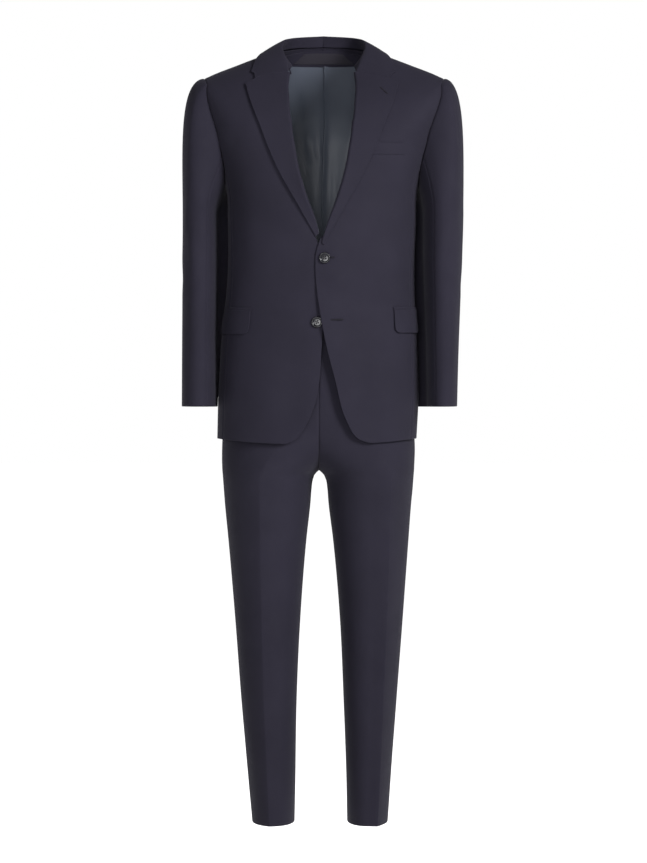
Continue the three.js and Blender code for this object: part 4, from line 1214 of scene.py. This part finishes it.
def inner_turn(side, z):
    """Where the ring meets the middle of the body, or the inseam below the fork."""
    out, into = leg_sides(side, z)
    share = np.clip((FLY_GAP - (out + into) / 2) / ((out - into) / 2), -1, 1)
    cut = np.degrees(np.arccos(power(share, LEG_SQUARENESS / 2)))
    return np.where(into > FLY_GAP, 180 - INSEAM_NUDGE, np.minimum(cut, 180 - INSEAM_NUDGE))


print("the left leg is cut at a turn of", round(float(inner_turn("left", -700))), "above the fork")

# %% The legs' folds
LEG_FOLDS = {
    "left": [
        (40, -790, 95, -740, 15, 1.3, 5), (60, -850, 110, -800, 16, 1.1, -5),
        (30, -1060, 100, -1100, 20, 0.9, 5), (110, -1090, 50, -1150, 18, 0.8, -5),
        (20, -1300, 30, -1460, 18, 0.8, 4), (-60, -1080, -130, -1120, 19, 1.0, 5),
        (-50, -760, -120, -800, 20, 1.3, 5),
    ],
    "right": [
        (45, -800, 100, -745, 16, 1.3, 5), (55, -870, 115, -815, 17, 1.0, -5),
        (40, -1070, 105, -1095, 19, 0.9, -5), (105, -1120, 45, -1165, 20, 0.8, 5),
        (34, -1320, 26, -1470, 17, 0.8, -4), (-60, -1100, -130, -1130, 20, 1.0, -5),
        (-50, -780, -120, -830, 20, 1.2, 5),
    ],
}
print("folds on the legs:", *map(len, LEG_FOLDS.values()))

# %% A leg's front and back
HEM_CLOSE, WAIST_CLOSE = np.array([0, 0.4, 0.9, 1.6]), np.array([0.7, 0.2])
LEG_Z = np.linspace(-1476, WAIST_SEAM - 1.2, 188)
LEG_Z = np.concatenate([HEM_Z + HEM_CLOSE, LEG_Z, WAIST_SEAM - WAIST_CLOSE])
TO_CREASE = (1 - (1 - np.linspace(0, 1, 32)) ** 1.25)[None, :]


def sew_leg(part, side, way):
    crease, inner = CREASES[side][part], way * inner_turn(side, LEG_Z)
    middle = np.where(np.abs(crease) < np.abs(inner) * 0.72, crease, inner * 0.72)[:, None]
    from_side = mix(way * SIDE_NUDGE, middle, TO_CREASE)
    from_inseam = mix(inner[:, None], middle, TO_CREASE[:, -2::-1])
    turn = np.concatenate([from_side, from_inseam], axis=1)
    height = np.broadcast_to(LEG_Z[:, None], turn.shape)

    def surface(u, v):
        return leg_point(side, u, v)

    points = surface(turn, height)
    outward = facing_away(directions_of(surface, turn, height, 1, 3), points * [0, 1, 0])
    d = distances(points)
    relief = sewn(d["start"], 0.5) + sewn(d["top"], 0.5)
    relief += np.where(height > FORK_Z, 1, 0.8) * sewn(d["end"], 0.5)
    relief += folds(turn, height, LEG_FOLDS[side]) * ease(d["end"] / 15)
    name, node, cut = f"leg_{part}_{side}", f"trouser_{part}_{side}", f"trouser_{part}"
    sew(name, node, (points, outward), TROUSER_WALL, relief, ("bottom",))


# %% A half of the waistband
BAND_Z = WAIST_SEAM + np.array([0.2, 0.7, 1.4, 3, 6, 12, 19, 26, 32, 35, 36.4, 37.2, 37.8])
BAND_WALL = 3.0


def sew_waistband(side):
    inner = inner_turn(side, BAND_Z)
    turn = mix(inner[:, None], -inner[:, None], edge_shares(440, 5.0)[None, :])
    height = np.broadcast_to(BAND_Z[:, None], turn.shape)

    def surface(u, v):
        return leg_point(side, u, v)

    points = surface(turn, height)
    outward = facing_away(directions_of(surface, turn, height, 1, 3), points * [1, 0, 0])
    lies, free, cut = ("stretched", f"leg_front_{side}"), ("top", "bottom"), "waistband"
    sew(f"waist_{side}", f"waistband_{side}", (points, outward), BAND_WALL, 0.0, free)


# %% Sew the trousers
for side in SIDES:
    sew_leg("front", side, 1)
    sew_leg("back", side, -1)
    sew_waistband(side)

# %% [markdown]
# ## Buttons
#
# A suit button is turned from horn: a raised rim, a shallow dish and four holes, sewn on with a
# cross of thread. It is made by spinning a short profile. The holes are real holes in the dish,
# bored with a Boolean, because light has to fall into them.


# %% Build the buttons
BUTTON_RADIUS, BUTTON_THICKNESS = 10.8, 4.2
HOLE_RADIUS, HOLE_OUT = 0.95, 2.1
PROFILE = [
    (0, 0), (0.55, 0), (0.78, 0.02), (0.92, 0.14), (0.985, 0.33), (1, 0.5), (0.985, 0.72), (0.94, 0.9),
    (0.885, 0.985), (0.83, 0.99), (0.775, 0.93), (0.73, 0.8), (0.69, 0.7), (0.62, 0.66), (0.4, 0.635),
    (0, 0.62),
]


def spin(profile, around):
    """Verts and four-sided faces of a profile spun about Z; its ends are on the axis."""
    radius, height = np.array(profile).T
    a = np.linspace(0, 2 * np.pi, around, endpoint=False)[:, None]
    ring = np.stack([radius[1:-1] * np.cos(a), radius[1:-1] * np.sin(a), height[1:-1] + 0 * a], -1)
    verts = np.concatenate([ring.reshape(-1, 3), [[0, 0, height[0]], [0, 0, height[-1]]]])
    n = len(profile) - 2
    faces = []
    for i in range(around):
        j = (i + 1) % around
        faces += [(i * n + k, j * n + k, j * n + k + 1, i * n + k + 1) for k in range(n - 1)]
        faces += [(around * n, j * n, i * n), (around * n + 1, i * n + n - 1, j * n + n - 1)]
    return verts, faces


def mesh_object(name, verts, faces, material):
    mesh = bpy.data.meshes.new(name)
    mesh.from_pydata([tuple(v) for v in verts], [], faces)
    clean = bmesh.new()
    clean.from_mesh(mesh)
    bmesh.ops.remove_doubles(clean, verts=clean.verts, dist=1e-7)
    bmesh.ops.recalc_face_normals(clean, faces=clean.faces)
    clean.to_mesh(mesh)
    clean.free()
    mesh.polygons.foreach_set("use_smooth", [True] * len(mesh.polygons))
    mesh.materials.append(material)
    return in_scene(name, mesh)


print("a button's profile has", len(PROFILE), "points")


# %% Place it and bore its holes
def apply_modifiers(obj):
    """Replace an object's mesh with what its modifiers make, and drop them."""
    evaluated = obj.evaluated_get(bpy.context.evaluated_depsgraph_get())
    mesh = bpy.data.meshes.new_from_object(evaluated)
    mesh.name = obj.name
    obj.modifiers.clear()
    obj.data = mesh
    return obj


def frame_at(where, lift):
    """A matrix that stands on the form at a seen point, Z outwards and X level."""
    place = np.array(seen_at(*where))
    out = body_normal(*place)
    level = unit(np.cross([0, 0, 1.0], out))
    seat = body(*place) + out * lift
    rows = np.eye(4)
    rows[:3, 0], rows[:3, 1], rows[:3, 2], rows[:3, 3] = level, np.cross(out, level), out, seat * MM
    return Matrix(rows.tolist())

HOLE_TURNS = [math.radians(45 + 90 * k) for k in range(4)]


def make_button(name, where, lift, twist):
    profile = [(r * BUTTON_RADIUS * MM, h * BUTTON_THICKNESS * MM) for r, h in PROFILE]
    button = mesh_object(name, *spin(profile, 64), HORN)
    bore = [(0, -2), (HOLE_RADIUS, -2), (HOLE_RADIUS, 8), (0, 8)]
    verts, faces = spin([(r * MM, h * MM) for r, h in bore], 20)
    ways = [np.array([math.cos(a), math.sin(a), 0]) * HOLE_OUT * MM for a in HOLE_TURNS]
    all_faces = [tuple(i + k * len(verts) for i in f) for k in range(len(ways)) for f in faces]
    all_verts = np.concatenate([verts + way for way in ways])
    drill = mesh_object(f"{name}_drill", all_verts, all_faces, HORN)
    cut = button.modifiers.new("holes", "BOOLEAN")
    cut.operation, cut.object, cut.solver = "DIFFERENCE", drill, "EXACT"
    apply_modifiers(button)
    bpy.data.objects.remove(drill, do_unlink=True)
    at = frame_at(where, lift) @ Matrix.Rotation(math.radians(twist), 4, "Z")
    button.data.transform(at)
    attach(button, "root")
    return button, at


print("each button gets", len(HOLE_TURNS), "holes")

# %% Make both buttons
BUTTONS = {}
for name, node, where, lift, twist in (
    ("upper_button", "top_button", TOP_BUTTON, OVERLAP_LIFT + 0.9, 8),
    ("under_button", "lower_button", LOWER_BUTTON, 0.5, 20),
):
    button, at = make_button(name, where, lift, twist)
    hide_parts(node)
    BUTTONS[name] = at
    print(name, "has", len(button.data.polygons), "faces")

# %% [markdown]
# ## Stitches
#
# Stitches repeat along a path, so Geometry Nodes lay them. The path is a line of points that
# carries the cloth's outward direction. The tree resamples it at the stitch length and sets one
# small bead of thread on each point, turned to lie along or across the path.


# %% A tree that lays stitches on a path
STITCH_NODES = {
    "curve": "GeometryNodeMeshToCurve", "resample": "GeometryNodeResampleCurve",
    "bead": "GeometryNodeMeshUVSphere", "size": "ShaderNodeCombineXYZ",
    "out": "GeometryNodeInputNamedAttribute", "lie": "GeometryNodeInputNamedAttribute",
    "turn": "FunctionNodeAxesToRotation", "lay": "GeometryNodeInstanceOnPoints",
    "real": "GeometryNodeRealizeInstances", "soft": "GeometryNodeSetShadeSmooth",
    "paint": "GeometryNodeSetMaterial", "start": "NodeGroupInput", "finish": "NodeGroupOutput",
}
STITCH_LINKS = """
start.Geometry curve.Mesh, curve.Curve resample.Curve, start.Spacing resample.Length,
start.Length size.X, start.Thickness size.Y, start.Thickness size.Z,
resample.Curve lay.Points, bead.Mesh lay.Instance, out.Attribute turn.Primary_Axis,
lie.Attribute turn.Secondary_Axis, turn.Rotation lay.Rotation, size.Vector lay.Scale,
lay.Instances real.Geometry, real.Geometry soft.Geometry, soft.Geometry paint.Geometry,
paint.Geometry finish.Geometry
"""


def stitch_tree(material):
    tree = bpy.data.node_groups.new("stitches", "GeometryNodeTree")
    face = tree.interface
    face.new_socket("Geometry", in_out="INPUT", socket_type="NodeSocketGeometry")
    sizes = {}
    for name, value in (("Spacing", 0.001), ("Length", 0.002), ("Thickness", 0.0005)):
        socket = face.new_socket(name, in_out="INPUT", socket_type="NodeSocketFloat")
        socket.default_value = value
        sizes[name] = socket.identifier
    face.new_socket("Geometry", in_out="OUTPUT", socket_type="NodeSocketGeometry")
    node = {name: tree.nodes.new(kind) for name, kind in STITCH_NODES.items()}
    node["resample"].mode = "LENGTH"
    put(node["bead"], {"Segments": 6, "Rings": 5, "Radius": 0.5})
    for name in ("out", "lie"):
        node[name].data_type = "FLOAT_VECTOR"
        put(node[name], {"Name": name})
    node["turn"].primary_axis, node["turn"].secondary_axis = "Z", "X"
    put(node["paint"], {"Material": material})
    for link in STITCH_LINKS.split(","):
        (giver, gives), (taker, takes) = (end.split(".") for end in link.split())
        given = node[giver].outputs[gives]
        tree.links.new(given, node[taker].inputs[takes.replace("_", " ")])
    return tree, sizes


STITCHES, STITCH_SIZES = stitch_tree(THREAD)
print("the stitch tree has", len(STITCHES.nodes), "nodes")


# %% Lay stitches
def lay_stitches(name, paths, spacing, length, thickness):
    """Beads of thread on paths; each path is points, outward directions and lie directions in m."""
    verts, edges, out, lie = [], [], [], []
    for points, outward, along in paths:
        first = len(verts)
        verts += [tuple(p) for p in points]
        edges += [(first + k, first + k + 1) for k in range(len(points) - 1)]
        out += [tuple(v) for v in outward]
        lie += [tuple(v) for v in along]
    mesh = bpy.data.meshes.new(name)
    mesh.from_pydata(verts, edges, [])
    for attribute, values in (("out", out), ("lie", lie)):
        layer = mesh.attributes.new(attribute, "FLOAT_VECTOR", "POINT")
        layer.data.foreach_set("vector", np.array(values, dtype=np.float32).ravel())
    obj = in_scene(name, mesh)
    modifier = obj.modifiers.new("stitches", "NODES")
    modifier.node_group = STITCHES
    for key, value in (("Spacing", spacing), ("Length", length), ("Thickness", thickness)):
        modifier[STITCH_SIZES[key]] = value
    apply_modifiers(obj)
    for attribute in ("out", "lie"):
        layer = obj.data.attributes.get(attribute)
        if layer:
            obj.data.attributes.remove(layer)
    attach(obj, "root")
    print(name, "has", len(obj.data.polygons), "faces")
    return obj


# %% [markdown]
# ## Buttonholes
#
# A tailor's buttonhole is a slit with a round eye at the front, bound with close stitches that
# stand across its edge. One is in the left lapel and one is beside each button.


# %% Sew them
def slot_path(where, toward, long, lift, eye=1.6, half=0.75, steps=40):
    """A keyhole-shaped path on the front, with directions across it."""
    at, to = np.array(where, float), np.array(toward, float)
    along = unit(to - at)
    side_way = np.array([-along[1], along[0]])
    a = np.linspace(-2.5, 2.5, 16)
    round_eye = np.stack([-np.cos(a) * eye, np.sin(a) * eye], -1)
    run = np.linspace(eye, long, steps)
    upper = np.stack([run, np.full_like(run, half)], -1)
    end = np.stack([[long + 0.5], [0.0]], -1)
    shape = np.concatenate([round_eye[::1], upper, end, upper[::-1] * [1, -1]])
    flat = at + shape[:, :1] * along + shape[:, 1:] * side_way
    place = np.array(seen_at(flat[:, 0], flat[:, 1]))
    out = body_normal(*place)
    points = (body(*place) + out * lift) * MM
    centre = at + np.clip(shape[:, :1], 0, long) * along
    from_middle = flat - centre
    lie = np.stack([from_middle[:, 0], 0 * flat[:, 0], from_middle[:, 1]], -1)
    return points, out, unit(lie)


# %% Sew the buttonholes
def sew_hole(name, where, toward, long, lift, length=0.0022, thickness=0.0007, eye=1.6):
    lay_stitches(name, [slot_path(where, toward, long, lift, eye)], 0.00055, length, thickness)


def front_lift(where):
    return float(stand_off("left", body(*np.array(seen_at(*where)))))


PROUD = 0.15  # how far a buttonhole's stitches stand off the cloth
sew_hole("lower_buttonhole", (20, -509), (46, -508), 22, front_lift((22, -511)) + PROUD)
sew_hole("upper_buttonhole", (6, -391), (30, -390), 20, front_lift((10, -391)) + PROUD)
lapel_lift = LAPEL_WALL + LAY_GAP + 2.8 + 0.3
sew_hole("lapel_buttonhole", (115, -66), (126, -77), 17, lapel_lift, 0.002, 0.0006, eye=1.0)

# %% Sew the buttons on
crosses = []
for at in BUTTONS.values():
    turn = at.to_3x3()
    for k, a in enumerate(HOLE_TURNS[:2]):
        way = np.array([math.cos(a), math.sin(a), 0])
        reach = np.linspace(-HOLE_OUT, HOLE_OUT, 9)
        bow = 0.7 * np.cos(reach / HOLE_OUT * np.pi / 2) + BUTTON_THICKNESS * 0.56 + 0.25 * k
        local = way * reach[:, None] + np.array([0, 0, 1]) * bow[:, None]
        points = [tuple(at @ Vector(p * MM)) for p in local]
        out = np.repeat([list(turn @ Vector((0, 0, 1)))], len(points), 0)
        lie = np.repeat([list(turn @ Vector(way))], len(points), 0)
        crosses.append((points, out, lie))
lay_stitches("button_thread", crosses, 0.0006, 0.0016, 0.0008)

# %% [markdown]
# ## Floor, light and camera
#
# The suit stands over a plain pale floor. A soft, narrow lamp before the wearer's left shoulder
# shapes it, and a wider, weaker one in front fills the shadows. The surround looks white to the
# camera but gives little light, so that dark cloth keeps its depth. The camera looks straight at
# the suit from nearly five metres, with a long lens.

# %% Lay the floor
FLOOR_Z, FLOOR_REACH = -1.6, 60
floor_mesh = bpy.data.meshes.new("floor")
turns = [k * math.pi / 32 for k in range(64)]
ring = [(FLOOR_REACH * math.cos(a), FLOOR_REACH * math.sin(a), FLOOR_Z) for a in turns]
floor_mesh.from_pydata(ring, [], [tuple(range(64))])
floor = in_scene("floor", floor_mesh)
pale, _, _, pale_surface = node_tree("pale_floor")
put(pale_surface, {"Base Color": (0.86, 0.86, 0.86, 1), "Roughness": 0.9})
put(pale_surface, {"Emission Color": (1, 1, 1, 1), "Emission Strength": 0.95})
floor_mesh.materials.append(pale)
floor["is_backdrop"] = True
print("floor at", FLOOR_Z, "m")


# %% Light it
def aim(obj, target):
    obj.rotation_euler = (Vector(target) - obj.location).to_track_quat("-Z", "Y").to_euler()


def soft_lamp(name, where, target, size, watts, spread):
    lamp = bpy.data.lights.new(name, "AREA")
    lamp.shape, lamp.size, lamp.energy = "DISK", size, watts
    lamp.spread = math.radians(spread)
    obj = in_scene(name, lamp)
    obj.location = where
    aim(obj, target)
    return obj


soft_lamp("key", (2.8, -3.3, 0.9), (0, 0, -0.4), 1.8, 60, 70)
soft_lamp("fill", (-0.6, -5.2, 0.3), (0, 0, -0.3), 2.4, 17, 50)
print("lamps:", len(bpy.data.lights))

# %% A pale surround
SEEN_STRENGTH, LIT_STRENGTH = 1.0, 0.14  # as the camera sees it, and as it lights the suit
world = bpy.data.worlds.new("surround")
bpy.context.scene.world = world
world.use_nodes = True
sky = world.node_tree
lit = put(sky.nodes["Background"], {"Color": (1, 1, 1, 1), "Strength": LIT_STRENGTH})
seen = put(sky.nodes.new("ShaderNodeBackground"), {"Color": (1, 1, 1, 1), "Strength": SEEN_STRENGTH})
ray = sky.nodes.new("ShaderNodeLightPath")
either = sky.nodes.new("ShaderNodeMixShader")
sky.links.new(ray.outputs["Is Camera Ray"], either.inputs["Fac"])
sky.links.new(lit.outputs["Background"], either.inputs[1])
sky.links.new(seen.outputs["Background"], either.inputs[2])
sky.links.new(either.outputs["Shader"], sky.nodes["World Output"].inputs["Surface"])
print("surround lights with", LIT_STRENGTH)

# %% Set the camera
lens = bpy.data.cameras.new("camera")
lens.lens, lens.sensor_width, lens.clip_end = 98.4, 36, 100
camera = in_scene("camera", lens)
camera.location = (0.00585, -4.6, -0.7205)
camera.rotation_euler = (math.pi / 2, 0, 0)
bpy.context.scene.camera = camera
bpy.context.scene.view_settings.view_transform = "Standard"
print("camera at", tuple(round(v, 2) for v in camera.location), "m")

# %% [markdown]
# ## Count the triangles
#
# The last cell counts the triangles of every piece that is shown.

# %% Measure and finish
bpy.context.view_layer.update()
total = sum(len(p.vertices) - 2 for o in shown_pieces() if o.type == "MESH" for p in o.data.polygons)
print("triangles in all:", total)
